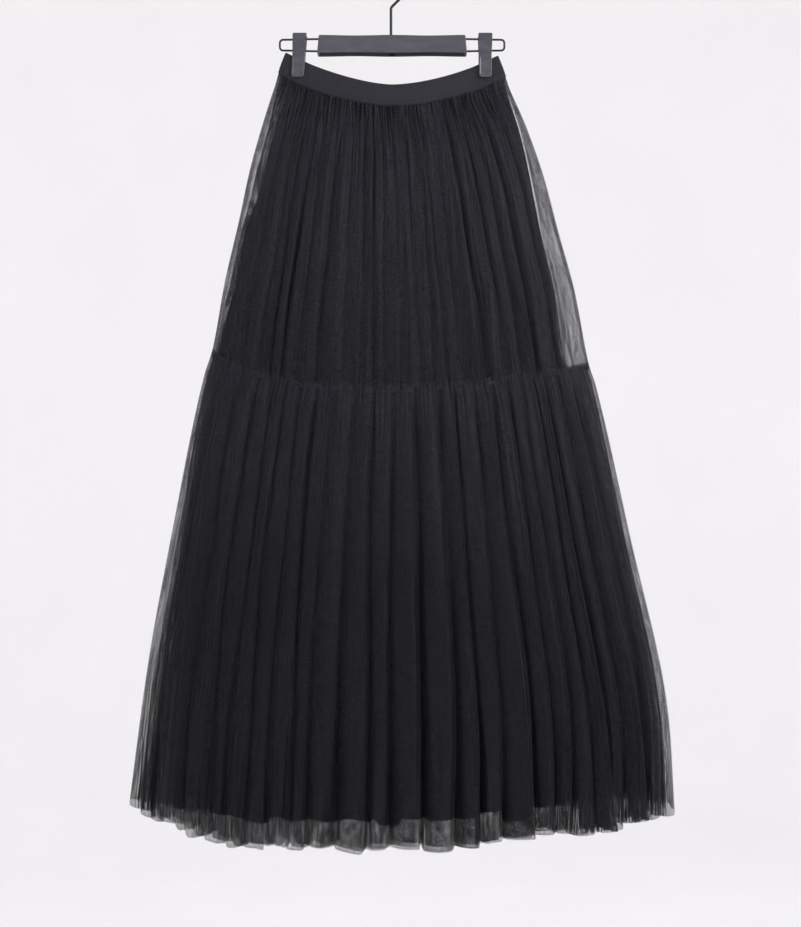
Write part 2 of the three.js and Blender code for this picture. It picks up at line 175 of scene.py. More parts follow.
# The plies of net and the lining, in millimetres. rows are (drop, main, middle, fine): the height of
# the main folds, of the middle folds between them and of the fine gathers. places are (drop, left,
# right, deep): how far the ply lies inside the outermost net at its two ends and across the middle.
# slack rows are (drop, slack line, doubled band, strength): near the right end the net is drawn open
# along a line and lies double outside it, up to the band's distance from the end. columns and levels
# are the grid's size, and the higher the crowding, the closer its levels lie at the top. gathers is
# how many fine gathers go round, and seed starts the ply's random draws. hem is how far its own folds
# end above or below each other, and scallop how high its top edge arches over each fine gather.
PLIES = {
    "upper_tulle_outer": {
        **UPPER_FOLDS,
        "rows": [
            (23.4, 0.1, 0.2, 0.5), (28, 0.3, 0.5, 1.8), (48, 1.2, 1.1, 0.9), (75, 2.4, 0.9, 0.2),
            (150, 3.1, 0.4, 0), (220, 3.3, 0.25, 0), (320, 3.3, 0.25, 0), (354, 2.6, 0.5, 0.3),
        ],
        "places": [
            (23.4, 0.3, 0.3, 0.3), (26, -0.6, -0.6, -0.6), (40, 0, 0, 0), (200, 0, 0, 0),
            (354, 0.5, 0.5, 0.5),
        ],
        "columns": 1040,
        "levels": 84,
        "crowding": 1.25,
        "gathers": 112,
        "slack": [
            (30, 1.5, 0.5, 0), (52, 3.7, 1.5, 1), (92, 7.5, 4, 1), (155, 14.5, 9.5, 1),
            (207, 18, 12.5, 0.9), (260, 20.5, 12.5, 0.6), (330, 25, 12, 0.3), (354, 25.5, 12, 0.2),
        ],
        "seed": 11,
        "hem": 0.0,
    },
    "upper_tulle_under": {
        **UPPER_FOLDS,
        "rows": [
            (25, 0.1, 0.2, 0.5), (50, 1.0, 0.9, 0.5), (90, 2.4, 0.9, 0.2),
            (150, 2.9, 0.5, 0), (220, 3.1, 0.4, 0), (320, 3.1, 0.4, 0), (354, 2.3, 0.4, 0),
        ],
        "places": [
            (25, 1.6, 1.6, 1.6), (50, 4, 5.5, 2.5), (90, 7, 9.5, 3), (155, 7, 17, 3.5),
            (207, 4, 20, 4), (268, 5, 22.5, 4), (300, 3, 24.5, 4), (340, 2.5, 26, 4), (354, 3, 25, 3.5),
        ],
        "columns": 820,
        "levels": 60,
        "crowding": 1.2,
        "gathers": 118,
        "seed": 23,
        "hem": 0.0,
    },
    "lower_tulle_outer": {
        **LOWER_FOLDS,
        "rows": [
            (351, 0.6, 0.4, 0.5), (359, 1.3, 0.6, 0.7), (380, 2.5, 0.7, 0.4), (420, 3.3, 0.5, 0.1),
            (500, 3.3, 0.4, 0), (620, 3.9, 0.3, 0), (750, 5.4, 0.3, 0), (873, 10.6, 0.4, 0),
        ],
        "places": [(351, 1.2, 1.2, 1.2), (360, 0.6, 0.6, 0.6), (378, 0, 0, 0), (873, 0, 0, 0)],
        "columns": 1200,
        "levels": 80,
        "crowding": 1.3,
        "gathers": 128,
        "seed": 37,
        "hem": 1.5,
        "scallop": 2.6,
    },
    "lower_tulle_middle": {
        **LOWER_FOLDS,
        "rows": [
            (354, 0.2, 0.3, 0.6), (380, 2.3, 0.8, 0.3), (420, 3.2, 0.8, 0), (500, 3.3, 0.7, 0),
            (620, 3.9, 0.6, 0), (750, 5.4, 0.5, 0), (872, 10.4, 0.6, 0),
        ],
        "places": [(354, 3.6, 3.6, 3.6), (380, 3, 4, 3.5), (550, 7, 6, 4), (872, 12, 10, 4)],
        "columns": 900,
        "levels": 62,
        "crowding": 1.25,
        "gathers": 150,
        "seed": 53,
        "hem": 2.5,
    },
    "lower_tulle_inner": {
        **LOWER_FOLDS,
        "rows": [
            (354, 0.2, 0.3, 0.4), (380, 1.9, 0.7, 0.2), (420, 2.8, 0.8, 0), (500, 3.1, 0.7, 0),
            (620, 3.7, 0.7, 0), (750, 5.1, 0.6, 0), (868, 9.8, 0.7, 0),
        ],
        "places": [(354, 5.2, 5.2, 5.2), (380, 6, 8, 7), (550, 12, 9, 8), (868, 20, 16, 8)],
        "columns": 760,
        "levels": 56,
        "crowding": 1.2,
        "gathers": 130,
        "seed": 71,
        "hem": 2.5,
    },
    "skirt_lining": {
        **LOWER_FOLDS,
        "spacing": 0.12,
        "lesser": (0.1, 0.4, 0.5, 1.0),
        "rows": [
            (22, 0, 0, 0), (60, 0.3, 0.2, 0), (120, 1.0, 0.5, 0), (250, 2.2, 0.6, 0),
            (355, 3.0, 0.8, 0), (550, 4.2, 1.0, 0), (700, 5.4, 1.2, 0), (843, 6.4, 1.4, 0),
        ],
        "places": [
            (22, 3.0, 3.0, 2.6), (50, 10, 6.5, 4), (90, 15, 10.5, 5.5), (155, 15, 18, 7.5), (207, 8, 21, 8.5),
            (268, 11, 24.5, 9), (300, 8, 27.5, 9.5), (340, 6, 30, 10), (375, 8, 19, 11), (550, 17, 16, 12),
            (750, 27, 20, 13), (843, 33, 24, 13),
        ],
        "columns": 640,
        "levels": 92,
        "crowding": 1.0,
        "gathers": 90,
        "seed": 97,
        "hem": 6.0,
    },
}

# What each sheet was cut to before it was gathered, in metres: round the skirt, and from top to hem.
CUTS = {
    "upper_tulle_outer": (1.12, 0.335),
    "upper_tulle_under": (1.06, 0.333),
    "lower_tulle_outer": (1.78, 0.535),
    "lower_tulle_middle": (1.70, 0.527),
    "lower_tulle_inner": (1.62, 0.52),
    "skirt_lining": (1.15, 0.82),
    "waistband": (0.56, 0.027),
}
# How much wider the real net is than its drawn folds, for the gathers that are too fine to draw.
GATHERS = 1.3

# The hanger, in millimetres.
HANGER_CENTRE = 1.3
HOOK_WIRE = 1.6
HOOK_RADIUS = 23.0
HOOK_TIP = 205.0
END_WIRE = 1.2
SPRING_WIRE = 0.55
BOARD_HALF_DEPTH = 11.0
BOARD_HALF_HEIGHT = 10.2
HOOK_TOP_Z = HOOK_WIRE
BEND_Z = HOOK_TOP_Z - HOOK_RADIUS * (1 + math.sqrt(2))
BOARD_TOP_Z = BEND_Z - 34.0
END_MIDDLE_Z = BOARD_TOP_Z - 9.7
WIRE_LOW_Z = END_MIDDLE_Z - 7.1
WIRE_HIGH_Z = END_MIDDLE_Z + 7.1
CLIP_TOP_Z = BOARD_TOP_Z + 2.7
CLIP_CENTRE = 108.5
CLIP_HEIGHT = 52.0

# The photograph's camera.
PHOTO_HEIGHT = 927
CAMERA_PLACE = (0.0111, -2.1, -0.5858)
FOCAL_PIXELS = 1799.5
SENSOR = 36.0


# Numbers along the skirt


def along(drops, knots, values):
    """The value at each drop on a smooth curve through the knots. Between two knots it is the cubic
    whose slope at each knot is the harmonic mean of the chords on either side, or level where they
    disagree, so that nothing overshoots."""
    drops = np.asarray(drops, float)
    span = np.diff(knots)
    chord = np.diff(values) / span
    before, after = chord[:-1], chord[1:]
    agree = before * after > 0
    total = np.where(agree, before + after, 1)
    slope = np.concatenate([chord[:1], np.where(agree, 2 * before * after / total, 0), chord[-1:]])
    i = np.clip(np.searchsorted(knots, drops, side="right") - 1, 0, len(knots) - 2)
    t = np.clip((drops - knots[i]) / span[i], 0, 1)
    t2, t3 = t * t, t * t * t
    return (
        (2 * t3 - 3 * t2 + 1) * values[i]
        + (t3 - 2 * t2 + t) * slope[i] * span[i]
        + (3 * t2 - 2 * t3) * values[i + 1]
        + (t3 - t2) * slope[i + 1] * span[i]
    )


def table_columns(rows, drops):
    """The three columns of a table after its drops, at each drop."""
    table = np.array(rows, float)
    return [along(drops, table[:, 0], table[:, n]) for n in (1, 2, 3)]


def ramp(value, start=0.0, width=1.0):
    """Zero up to the start, one from a width further on, and an S between them."""
    t = np.clip((value - start) / width, 0, 1)
    return t * t * (3 - 2 * t)


def lift_at(drops, x):
    """How high the cloth hangs above its own middle at x: the end's lift times the share of the half
    width to the end's power."""
    half = along(drops, SECTION_DROPS, SECTIONS["half_width"])
    share = np.abs(x) / half
    value = {name: along(drops, LIFT_DROPS, LIFTS[name]) for name in LIFTS}
    left = value["left"] * share ** value["left_power"]
    right = value["right"] * share ** value["right_power"]
    return np.where(x < 0, left, right)


def drift(ring, level, seed, turns, strength):
    """Slow irregularity: a sum of sines round the ring and down the cloth, with whole turns round the
    ring so that it closes, drawn from a seeded table."""
    waves = 7
    rng = np.random.default_rng(seed)
    total = np.zeros(np.broadcast(ring, level).shape)
    for _ in range(waves):
        round_it = rng.integers(1, turns + 1)
        down = rng.uniform(-1.6, 1.6)
        total = total + np.sin(2 * np.pi * (round_it * ring + down * level + rng.uniform()))
    return total * strength / math.sqrt(waves / 2)


def oval_rings(drops, left, right, deep, columns):
    """One closed ring of the skirt's section at each drop, evenly spaced along each half, from the left
    end over the front to the right end and back. On each half y is flat times (1 - |x|^square)^(1/square)
    plus belly times (1 - (x/pinch)^2)^1.2, with x as a share of the half width."""
    value = {name: along(drops, SECTION_DROPS, SECTIONS[name])[:, None] for name in SECTIONS}
    half = value["half_width"] - (left + right)[:, None] / 2
    samples = 1600
    share = -np.cos(np.linspace(0, np.pi, samples))[None, :]
    ends = np.clip(1 - np.abs(share) ** value["square"], 0, 1) ** (1 / value["square"])
    middle = np.clip(1 - (share / value["pinch"]) ** 2, 0, 1) ** 1.2
    x = half * share
    y = (value["flat"] - deep[:, None]) * ends + value["belly"] * middle
    run = np.cumsum(np.hypot(np.diff(x, axis=1), np.diff(y, axis=1)), axis=1)
    run = np.concatenate([np.zeros((len(drops), 1)), run], axis=1)
    length = run[:, -1:]
    ring = np.arange(columns) / columns
    wanted = np.where(ring < 0.5, 2 * ring, 2 - 2 * ring)[None, :]
    # Each ring's run is raised to a shelf of its own, so that one interpolation serves all rings.
    shelf = 2.0 * np.arange(len(drops))[:, None]
    knots = (run / length + shelf).ravel()
    px = np.interp((wanted + shelf).ravel(), knots, x.ravel()).reshape(-1, columns)
    py = np.interp((wanted + shelf).ravel(), knots, y.ravel()).reshape(-1, columns)
    side = np.where(ring < 0.5, -1.0, 1.0)[None, :]
    return px, py * side, half, length


def fill_between(creases, spacing, lesser, seed):
    """The main creases with lesser folds between them, each gap cut into parts of about the spacing.
    lesser holds the least and most depth of these at the top, then at the bottom."""
    rng = np.random.default_rng(seed)
    rows = sorted(creases)
    filled = []
    for this, following in zip(rows, rows[1:]):
        filled.append(this)
        parts = max(1, round((following[0] - this[0]) / spacing))
        for i in range(1, parts):
            t = (i + rng.uniform(-0.22, 0.22)) / parts
            share = [this[n] + (following[n] - this[n]) * t for n in (0, 1)]
            depth = (rng.uniform(*lesser[:2]), rng.uniform(*lesser[2:]))
            filled.append((*share, *depth, rng.choice([-0.6, 0.3, 0.5, 0.7]) * rng.uniform(0.6, 1.2)))
    return np.array(filled + [rows[-1]])


def fold_phase(ply, level, half, length):
    """Which fold each point of the grid is in: the phase is a whole number on each ridge and half way
    between them in each valley, skewed so that one flank is steep and the other a panel. Returns it
    with the ridges' depth and lean carried along it, and how many folds there are."""
    front = fill_between(ply["creases"][0], ply["spacing"], ply["lesser"], ply["crease_seed"])
    back = fill_between(ply["creases"][1], ply["spacing"], ply["lesser"], ply["crease_seed"] + 1)
    t = level[:, None]
    # Ridges stay off the side seams by this share of a half's length.
    off_seam = 0.012

    def places(table):
        share = table[:, 0] + (table[:, 1] - table[:, 0]) * t
        return np.clip(0.5 + share * half / length, off_seam, 1 - off_seam)

    ridges = np.concatenate([places(front) / 2, 1 - places(back)[:, ::-1] / 2], axis=1)
    both = np.concatenate([front, back[::-1]])
    depth = both[:, 2] + (both[:, 3] - both[:, 2]) * t
    lean = both[:, 4]
    count = len(both)
    ring = np.arange(ply["columns"]) / ply["columns"]
    knots = np.concatenate([ridges[:, -1:] - 1, ridges, ridges[:, :1] + 1], axis=1)
    numbers = np.arange(-1, count + 1)
    phase = np.stack([np.interp(ring, row, numbers) for row in knots])
    wrapped = np.concatenate([depth[:, -1:], depth, depth[:, :1]], axis=1)
    depths = np.stack([np.interp(row, numbers, values) for row, values in zip(phase, wrapped)])
    leans = np.interp(phase, numbers, np.concatenate([lean[-1:], lean, lean[:1]]))
    skew = np.clip(1.4 * leans, -0.85, 0.85) / (2 * np.pi)
    phase = phase + skew * (1 - np.cos(2 * np.pi * phase))
    return phase, depths, leans * (0.35 + 0.65 * t * t), count


def unit_tangents(x, y):
    """The direction of closed rings at each point, from its neighbours on both sides. Turned clockwise
    by a quarter it points out of the skirt."""
    along_x = np.roll(x, -1, 1) - np.roll(x, 1, 1)
    along_y = np.roll(y, -1, 1) - np.roll(y, 1, 1)
    size = np.hypot(along_x, along_y)
    return along_x / size, along_y / size


def move_out(x, y, out, slide=0.0):
    """Rings moved outwards by out, and along themselves by slide."""
    tangent_x, tangent_y = unit_tangents(x, y)
    return x + tangent_y * out + tangent_x * slide, y - tangent_x * out + tangent_y * slide


def hang(drops, x, y, up=0.0, aside=0.0):
    """The points of rings: each hangs at its drop round the skirt's centre, lifted towards its ends,
    and is then moved by up and aside."""
    centre = along(drops, SECTION_DROPS, SECTIONS["centre"])[:, None] + aside
    z = WAIST_TOP_Z + lift_at(drops[:, None], x) - drops[:, None] + up
    return np.stack([x + centre, y, z], axis=2)


def ply_grid(ply, cut, depth_scale):
    """The points of one ply in millimetres, a ring at each level, with how bunched it lies there and
    each level's share of the height. Each ring is the oval moved out by main folds (a raised cosine
    of the phase, flattened on its ridges), middle folds (three to a main fold) and fine gathers
    (evenly many round the ring), and along itself by the main folds' lean. Up to 3 mm from the side
    seams it runs plain, and from 15 mm it is folded. At the hem each fold ends at its own length, and
    a scalloped top edge stands up in an arch over each fine gather."""
    rows = ply["rows"]
    columns = ply["columns"]
    spread = np.linspace(0, 1, ply["levels"] - 2) ** ply["crowding"]
    level = np.concatenate([spread[:-1], HEM_EDGE_LEVELS])
    drops = rows[0][0] + (rows[-1][0] - rows[0][0]) * level
    main, middle, fine = (column[:, None] * depth_scale for column in table_columns(rows, drops))
    left, right, deep = table_columns(ply["places"], drops)
    mean = (0.9 * main + 0.3 * middle + 0.5 * fine)[:, 0]
    x, y, half, length = oval_rings(drops, left + mean, right + mean, deep + mean, columns)
    phase, depths, leans, count = fold_phase(ply, level, half, length)

    ring = np.arange(columns)[None, :] / columns
    t = level[:, None]
    wander = drift(ring, t, ply["crease_seed"] + 5, 40, 0.16)
    ridge = (0.5 + 0.5 * np.cos(2 * np.pi * (phase + 0.5 * wander))) ** 0.4
    between = drift(ring, t, ply["seed"] + 1, 60, 0.35)
    uneven = 1 + drift(ring, t, ply["seed"] + 2, 80, 0.45)
    jitter = drift(ring, t, ply["seed"] + 3, 90, 0.3)
    ragged = 1 + drift(ring, t, ply["seed"] + 4, 120, 0.5)
    gather = np.cos(2 * np.pi * (ply["gathers"] * ring + jitter))
    out = main * depths * (2 * ridge - 1)
    out = out + middle * uneven * np.cos(2 * np.pi * (3 * phase + between)) + fine * ragged * gather
    from_side = np.abs((ring + 0.25) % 0.5 - 0.25) * 2 * length
    plain = 1 - ramp(from_side, 3, 12)
    out = out * (1 - plain) + (0.75 * main + 0.5 * fine) * plain
    slide = leans * main * depths * ridge * (1 - plain)
    folded = move_out(x, y, out, slide)

    bunched = bunching(ply, cut, drops, level, (x, y, length), folded, from_side)
    up = np.zeros_like(out)
    if ply["hem"]:
        shared = hem_offset(phase[-1], count, HEM_STEP, HEM_SEED)
        own = hem_offset(phase[-1], count, ply["hem"], ply["seed"])
        up = BACK_RISE * ramp(t) * ramp(folded[1], -30, 60) - (shared + own) * ramp(t, 0.8, 0.2)
    if "scallop" in ply:
        arch = 0.6 + 0.4 * gather + 0.5 * between
        up = up + ply["scallop"] * arch * (1 - ramp(t, 0, 0.035))
    return hang(drops, *folded, up, ((left - right) / 2)[:, None]), bunched, level


def bunching(ply, cut, drops, level, oval, folded, from_side):
    """How many times over the cloth lies: its cut width over the ring's length, times what a slanting
    fold adds. Where a ply has slack, its line at the right opens it and the band outside lies double.
    The side seams' allowance adds three layers, and the cloth closes towards the hem, whose last two
    rings are its edge."""
    x, y, length = oval
    (oval_x, oval_y), (fold_x, fold_y) = unit_tangents(x, y), unit_tangents(*folded)
    cosine = np.abs(fold_x * oval_x + fold_y * oval_y)
    bunched = np.clip(1 / np.maximum(cosine, 0.3), 1, 3) * (cut / MM / (2 * length))
    if "slack" in ply:
        line, band, strength = (column[:, None] for column in table_columns(ply["slack"], drops))
        # The back's line lies further out, because from the front it then falls behind the front's.
        gap = x.max(axis=1, keepdims=True) - x + 0.12 * y
        doubled = ramp(line - gap, 1.5, 1.5) * ramp(gap - band, 0, 1.5)
        slack = strength * np.exp(-(((gap - line) / 1.4) ** 2))
        bunched = bunched * (1 + 2.2 * doubled) * (1 - 0.96 * slack)
    bunched = bunched + 3.0 * (1 - ramp(from_side, 5, 4))
    if ply["hem"]:
        bunched = bunched * (1 + 0.6 * ramp(level[:, None], 0.83, 0.12))
        bunched[-2:] += 2.5
    return bunched


def hem_offset(phase, count, reach, seed):
    """How much lower each fold's hem ends: one seeded length for each fold, level under the fold and
    stepping steeply to the next one in the valley. The first and the last fold meet at the left end
    and are alike."""
    level_reach = 0.47
    rng = np.random.default_rng(seed + 6)
    lengths = rng.uniform(-1, 1, count) * reach
    lengths[-1] = lengths[0]
    numbers = np.arange(-1, count + 1)
    values = np.concatenate([lengths[-1:], lengths, lengths[:1]])
    knots = np.stack([numbers - level_reach, numbers + level_reach], axis=1).ravel()
    return np.interp(phase, knots, np.repeat(values, 2))


# Meshes


def grid_faces(rows, columns):
    """The quads of a grid of closed rings from the top down, facing outwards where a ring runs
    anticlockwise seen from above."""
    r, c = np.meshgrid(np.arange(rows - 1), np.arange(columns), indexing="ij")
    after = (c + 1) % columns
    quads = [r * columns + c, (r + 1) * columns + c, (r + 1) * columns + after, r * columns + after]
    return np.stack(quads, axis=2).reshape(-1, 4)


def grid_uv(across, down):
    """The UV of each quad's corners in metres of cloth, from the place of each column and row. The
    last column leads back to the first, a step further on."""
    across = np.append(across, 2 * across[-1] - across[-2])
    u0, v0 = np.meshgrid(across[:-1], down[:-1])
    u1, v1 = np.meshgrid(across[1:], down[1:])
    corners = [(u0, v0), (u0, v1), (u1, v1), (u1, v0)]
    return np.stack([np.stack(pair, axis=2) for pair in corners], axis=2).reshape(-1, 2)


def mesh_object(name, points, faces, material, uv=None, bunched=None, weld=False):
    """A mesh object at the origin from points in millimetres and quads. Welding merges the equal
    points that close an end or an edge."""
    mesh = bpy.data.meshes.new(name)
    points = np.ascontiguousarray(points.reshape(-1, 3) * MM, dtype=np.float32)
    faces = np.ascontiguousarray(faces, dtype=np.int32)
    mesh.vertices.add(len(points))
    mesh.vertices.foreach_set("co", points.ravel())
    mesh.loops.add(faces.size)
    mesh.loops.foreach_set("vertex_index", faces.ravel())
    mesh.polygons.add(len(faces))
    mesh.polygons.foreach_set("loop_start", np.arange(0, faces.size, 4, dtype=np.int32))
    mesh.polygons.foreach_set("use_smooth", np.ones(len(faces), dtype=bool))
    mesh.update(calc_edges=True)
    if uv is not None:
        layer = mesh.uv_layers.new(name="cloth")
        layer.uv.foreach_set("vector", np.ascontiguousarray(uv, dtype=np.float32).ravel())
    if bunched is not None:
        field = mesh.attributes.new("bunched", "FLOAT", "POINT")
        field.data.foreach_set("value", np.ascontiguousarray(bunched, dtype=np.float32).ravel())
    mesh.validate()
    if weld:
        work = bmesh.new()
        work.from_mesh(mesh)
        bmesh.ops.remove_doubles(work, verts=work.verts, dist=1e-6)
        work.to_mesh(mesh)
        work.free()
    mesh.materials.append(material)
    piece = bpy.data.objects.new(name, mesh)
    bpy.context.scene.collection.objects.link(piece)
    return piece


def join_parts(parts):
    """The points and quads of several meshes as one."""
    starts = np.cumsum([0] + [len(p.reshape(-1, 3)) for p, _ in parts[:-1]])
    points = np.concatenate([p.reshape(-1, 3) for p, _ in parts])
    faces = np.concatenate([f + start for (_, f), start in zip(parts, starts)])
    return points, faces


def tube(path, radius, sides):
    """A round bar along a path: at each point a circle across the path's direction, whose first axis
    is Y freed of what lies along the path. Its ends are half rounds."""
    path = np.asarray(path, float)
    direction = np.gradient(path, axis=0)
    direction /= np.linalg.norm(direction, axis=1, keepdims=True)
    cap = np.linspace(0, np.pi / 2, 5)[:-1]
    shrink = np.concatenate([np.sin(cap), np.ones(len(path)), np.sin(cap[::-1])])
    head = path[0] - direction[0] * radius * np.cos(cap)[:, None]
    tail = path[-1] + direction[-1] * radius * np.cos(cap[::-1])[:, None]
    whole = np.concatenate([head, path, tail])
    ends = [np.repeat(row, len(cap), 0) for row in (direction[:1], direction[-1:])]
    aim = np.concatenate([ends[0], direction, ends[1]])
    first = np.array([0.0, 1.0, 0.0]) - aim * aim[:, 1:2]
    first /= np.linalg.norm(first, axis=1, keepdims=True)
    second = np.cross(aim, first)
    angle = 2 * np.pi * np.arange(sides) / sides
    spoke = first[:, None] * np.cos(angle)[None, :, None] + second[:, None] * np.sin(angle)[None, :, None]
    points = whole[:, None] + spoke * (radius * shrink)[:, None, None]
    return points, grid_faces(len(whole), sides)[:, ::-1]


def middle_of(ring):
    """A row of equal points in the middle of a ring, which closes the end of a piece."""
    return ring.mean(axis=1, keepdims=True) + 0 * ring


# Materials


def linear(hex_colour):
    """A hex sRGB colour as linear red, green, blue and alpha."""
    parts = np.array([int(hex_colour[i : i + 2], 16) / 255 for i in (1, 3, 5)])
    low = parts / 12.92
    high = ((parts + 0.055) / 1.055) ** 2.4
    return (*np.where(parts <= 0.04045, low, high).tolist(), 1.0)


def add_node(tree, kind, inputs=(), output=0, **settings):
    """Adds a node with its settings and returns one of its outputs. Inputs go by name or in order, and
    one that is a socket is linked."""
    made = tree.nodes.new("ShaderNode" + kind)
    for name, value in settings.items():
        setattr(made, name, value)
    named = inputs if isinstance(inputs, dict) else dict(enumerate(inputs))
    for key, value in named.items():
        if isinstance(value, bpy.types.NodeSocket):
            tree.links.new(value, made.inputs[key])
        else:
            made.inputs[key].default_value = value
    return made.outputs[output] if made.outputs else None


def new_material(name):
    """An empty node material and its tree."""
    material = bpy.data.materials.new(name)
    material.use_nodes = True
    material.node_tree.nodes.clear()
    return material, material.node_tree


def finish_material(tree, tone, dark, light, inputs):
    """Ends a material: its colour runs from dark to light with the tone, into a principled shader with
    these inputs and the output."""
    tones = {"Factor": tone, 6: linear(dark), 7: linear(light)}
    colour = add_node(tree, "Mix", tones, 2, data_type="RGBA")
    shader = add_node(tree, "BsdfPrincipled", {"Base Color": colour, **inputs})
    add_node(tree, "OutputMaterial", {"Surface": shader})


def cloth_waves(tree, directions, warp):
    """Adds cosines of the cloth's own coordinates, one for each wave vector in turns per metre. Noise
    moves the pattern about by the warp, in metres."""
    cloth = add_node(tree, "UVMap", uv_map="cloth")
    noise = add_node(tree, "TexNoise", {"Vector": cloth, "Scale": 55.0, "Detail": 1.0}, "Color")
    centred = add_node(tree, "VectorMath", (noise, (0.5, 0.5, 0.5)), operation="SUBTRACT")
    shift = add_node(tree, "VectorMath", {0: centred, "Scale": warp}, operation="SCALE")
    place = add_node(tree, "VectorMath", (cloth, shift), operation="ADD")
    total = 0.0
    for direction in directions:
        turns = [2 * math.pi * value for value in direction] + [0.0]
        dot = add_node(tree, "VectorMath", (place, turns), "Value", operation="DOT_PRODUCT")
        wave = add_node(tree, "Math", (dot,), operation="COSINE")
        total = add_node(tree, "Math", (total, wave), operation="ADD")
    return total


def black_nylon_tulle(name, thread, hole, dark, light, top, bottom):
    """Nylon net, warp knitted in hexagons and dyed black: threads that hide what is behind them, holes that
    do not, and a soft sheen where the net turns away. Where it lies bunched it closes up: what one layer lets
    through goes to the power of the layers. Its colour carries painted shade: it is lightest at the top
    height and darkens down to the bottom height, and stays dark below it."""
    material, tree = new_material(name)
    # Real net of this kind has a hole every millimetre. It is drawn as coarse as it needs to show.
    pitch = 2.3 * MM
    turns = 2 / (math.sqrt(3) * pitch)
    hexagon = [(turns * math.cos(a), turns * math.sin(a)) for a in np.radians([0, 60, 120]).tolist()]
    net = cloth_waves(tree, hexagon, 1.6 * MM)
    edges = {"Value": net, "From Min": 0.35, "From Max": -0.45}
    threads = add_node(tree, "MapRange", edges, interpolation_type="SMOOTHSTEP")
    # The gathers that are too fine to draw are streaks 4 mm wide, darker and lighter.
    cloth = add_node(tree, "UVMap", uv_map="cloth")
    stretched = add_node(tree, "Mapping", {"Vector": cloth, "Scale": (260.0, 14.0, 1.0)})
    streaks = add_node(tree, "TexNoise", {"Vector": stretched, "Scale": 1.0, "Detail": 3.0})
    body = add_node(tree, "MapRange", {"Value": streaks, "From Min": 0.3, "From Max": 0.7})
    cover = add_node(tree, "Math", (threads, thread - hole, hole), operation="MULTIPLY_ADD")
    denser = add_node(tree, "Math", (body, 0.25, 0.8), operation="MULTIPLY_ADD")
    cover = add_node(tree, "Math", (cover, denser), operation="MULTIPLY")
    # Two nets that lie on each other close and open in grains of about 2 mm.
    place = add_node(tree, "TexCoord", output="Object")
    stretched = add_node(tree, "Mapping", {"Vector": place, "Scale": (560.0, 240.0, 620.0)})
    grain = add_node(tree, "TexNoise", {"Vector": stretched, "Scale": 1.0, "Detail": 1.0})
    limits = {"Value": grain, "From Min": 0.38, "From Max": 0.62, "To Min": 0.4, "To Max": 1.45}
    grain = add_node(tree, "MapRange", limits)
    cover = add_node(tree, "Math", (cover, grain), operation="MULTIPLY")
    cover = add_node(tree, "Math", (cover, 0.97), operation="MINIMUM")
    bunched = add_node(tree, "Attribute", output="Fac", attribute_name="bunched")
    clear = add_node(tree, "Math", (1.0, cover), operation="SUBTRACT")
    clear = add_node(tree, "Math", (clear, bunched), operation="POWER")
    alpha = add_node(tree, "Math", (1.0, clear), operation="SUBTRACT")
    # Painted shade: the colour darkens from the top height down to the bottom height, and stays dark below
    # it.
    height = add_node(tree, "SeparateXYZ", (place,), "Z")
    limits = {"Value": height, "From Min": bottom, "From Max": top, "To Min": 0.15}
    shade = add_node(tree, "MapRange", limits)
    tone = add_node(tree, "Math", (body, 0.45, 0.47), operation="MULTIPLY_ADD")
    tone = add_node(tree, "Math", (shade, tone), operation="MULTIPLY")
    look = {
        "Roughness": 0.55,
        "IOR": 1.53,
        "Specular IOR Level": 0.18,
        "Sheen Weight": 0.05,
        "Sheen Roughness": 0.4,
        "Alpha": alpha,
    }
    finish_material(tree, tone, dark, light, look)
    return material


def black_polyester_lining():
    """Polyester lining, plain woven and dyed black: close, dark and slightly satin."""
    material, tree = new_material("black polyester lining, plain woven")
    # Real lining has a thread every 0.3 mm. It is drawn at 1.6 mm, as coarse as it needs to show.
    weave = cloth_waves(tree, [(625.0, 0.0), (0.0, 625.0)], 1.0 * MM)
    level = add_node(tree, "MapRange", {"Value": weave, "From Min": -2.0, "From Max": 2.0})
    bump = add_node(tree, "Bump", {"Strength": 0.25, "Distance": 0.3 * MM, "Height": level})
    look = {
        "Roughness": 0.62,
        "IOR": 1.55,
        "Specular IOR Level": 0.2,
        "Sheen Weight": 0.04,
        "Normal": bump,
    }
    finish_material(tree, level, "#070708", "#0E0E10", look)
    return material


def black_knitted_elastic():
    """Elastic band with a knitted face, dyed black: fine upright ribs and courses, dull and soft."""
    material, tree = new_material("black elastic band, knitted")
    # Real ribs lie 0.6 mm apart. They are drawn at 1.8 mm, as coarse as they need to show.
    ribs = cloth_waves(tree, [(555.0, 0.0), (0.0, 420.0)], 1.2 * MM)
    level = add_node(tree, "MapRange", {"Value": ribs, "From Min": -2.0, "From Max": 2.0})
    cloth = add_node(tree, "UVMap", uv_map="cloth")
    cloud = add_node(tree, "TexNoise", {"Vector": cloth, "Scale": 160.0, "Detail": 4.0})
    ribbed = add_node(tree, "Math", (level, 0.5), operation="MULTIPLY")
    tone = add_node(tree, "Math", (cloud, 0.6, ribbed), operation="MULTIPLY_ADD")
    bump = add_node(tree, "Bump", {"Strength": 0.35, "Distance": 0.5 * MM, "Height": level})
    look = {
        "Roughness": 0.78,
        "IOR": 1.5,
        "Specular IOR Level": 0.3,
        "Sheen Weight": 0.12,
        "Sheen Roughness": 0.5,
        "Normal": bump,
    }
    finish_material(tree, tone, "#17171C", "#2B2A33", look)
    return material


def black_polyester_thread():
    """Spun polyester sewing thread: two plies twisted, slightly glossy."""
    material, tree = new_material("black sewing thread, twisted")
    place = add_node(tree, "TexCoord", output="Object")
    # Real twist repeats every 0.5 mm. It is drawn at 1 mm so that it shows.
    twist = add_node(tree, "TexWave", {"Vector": place, "Scale": 160.0, "Distortion": 1.0}, "Fac")
    finish_material(tree, twist, "#1B1B1F", "#3A3A42", {"Roughness": 0.5, "IOR": 1.55})
    return material


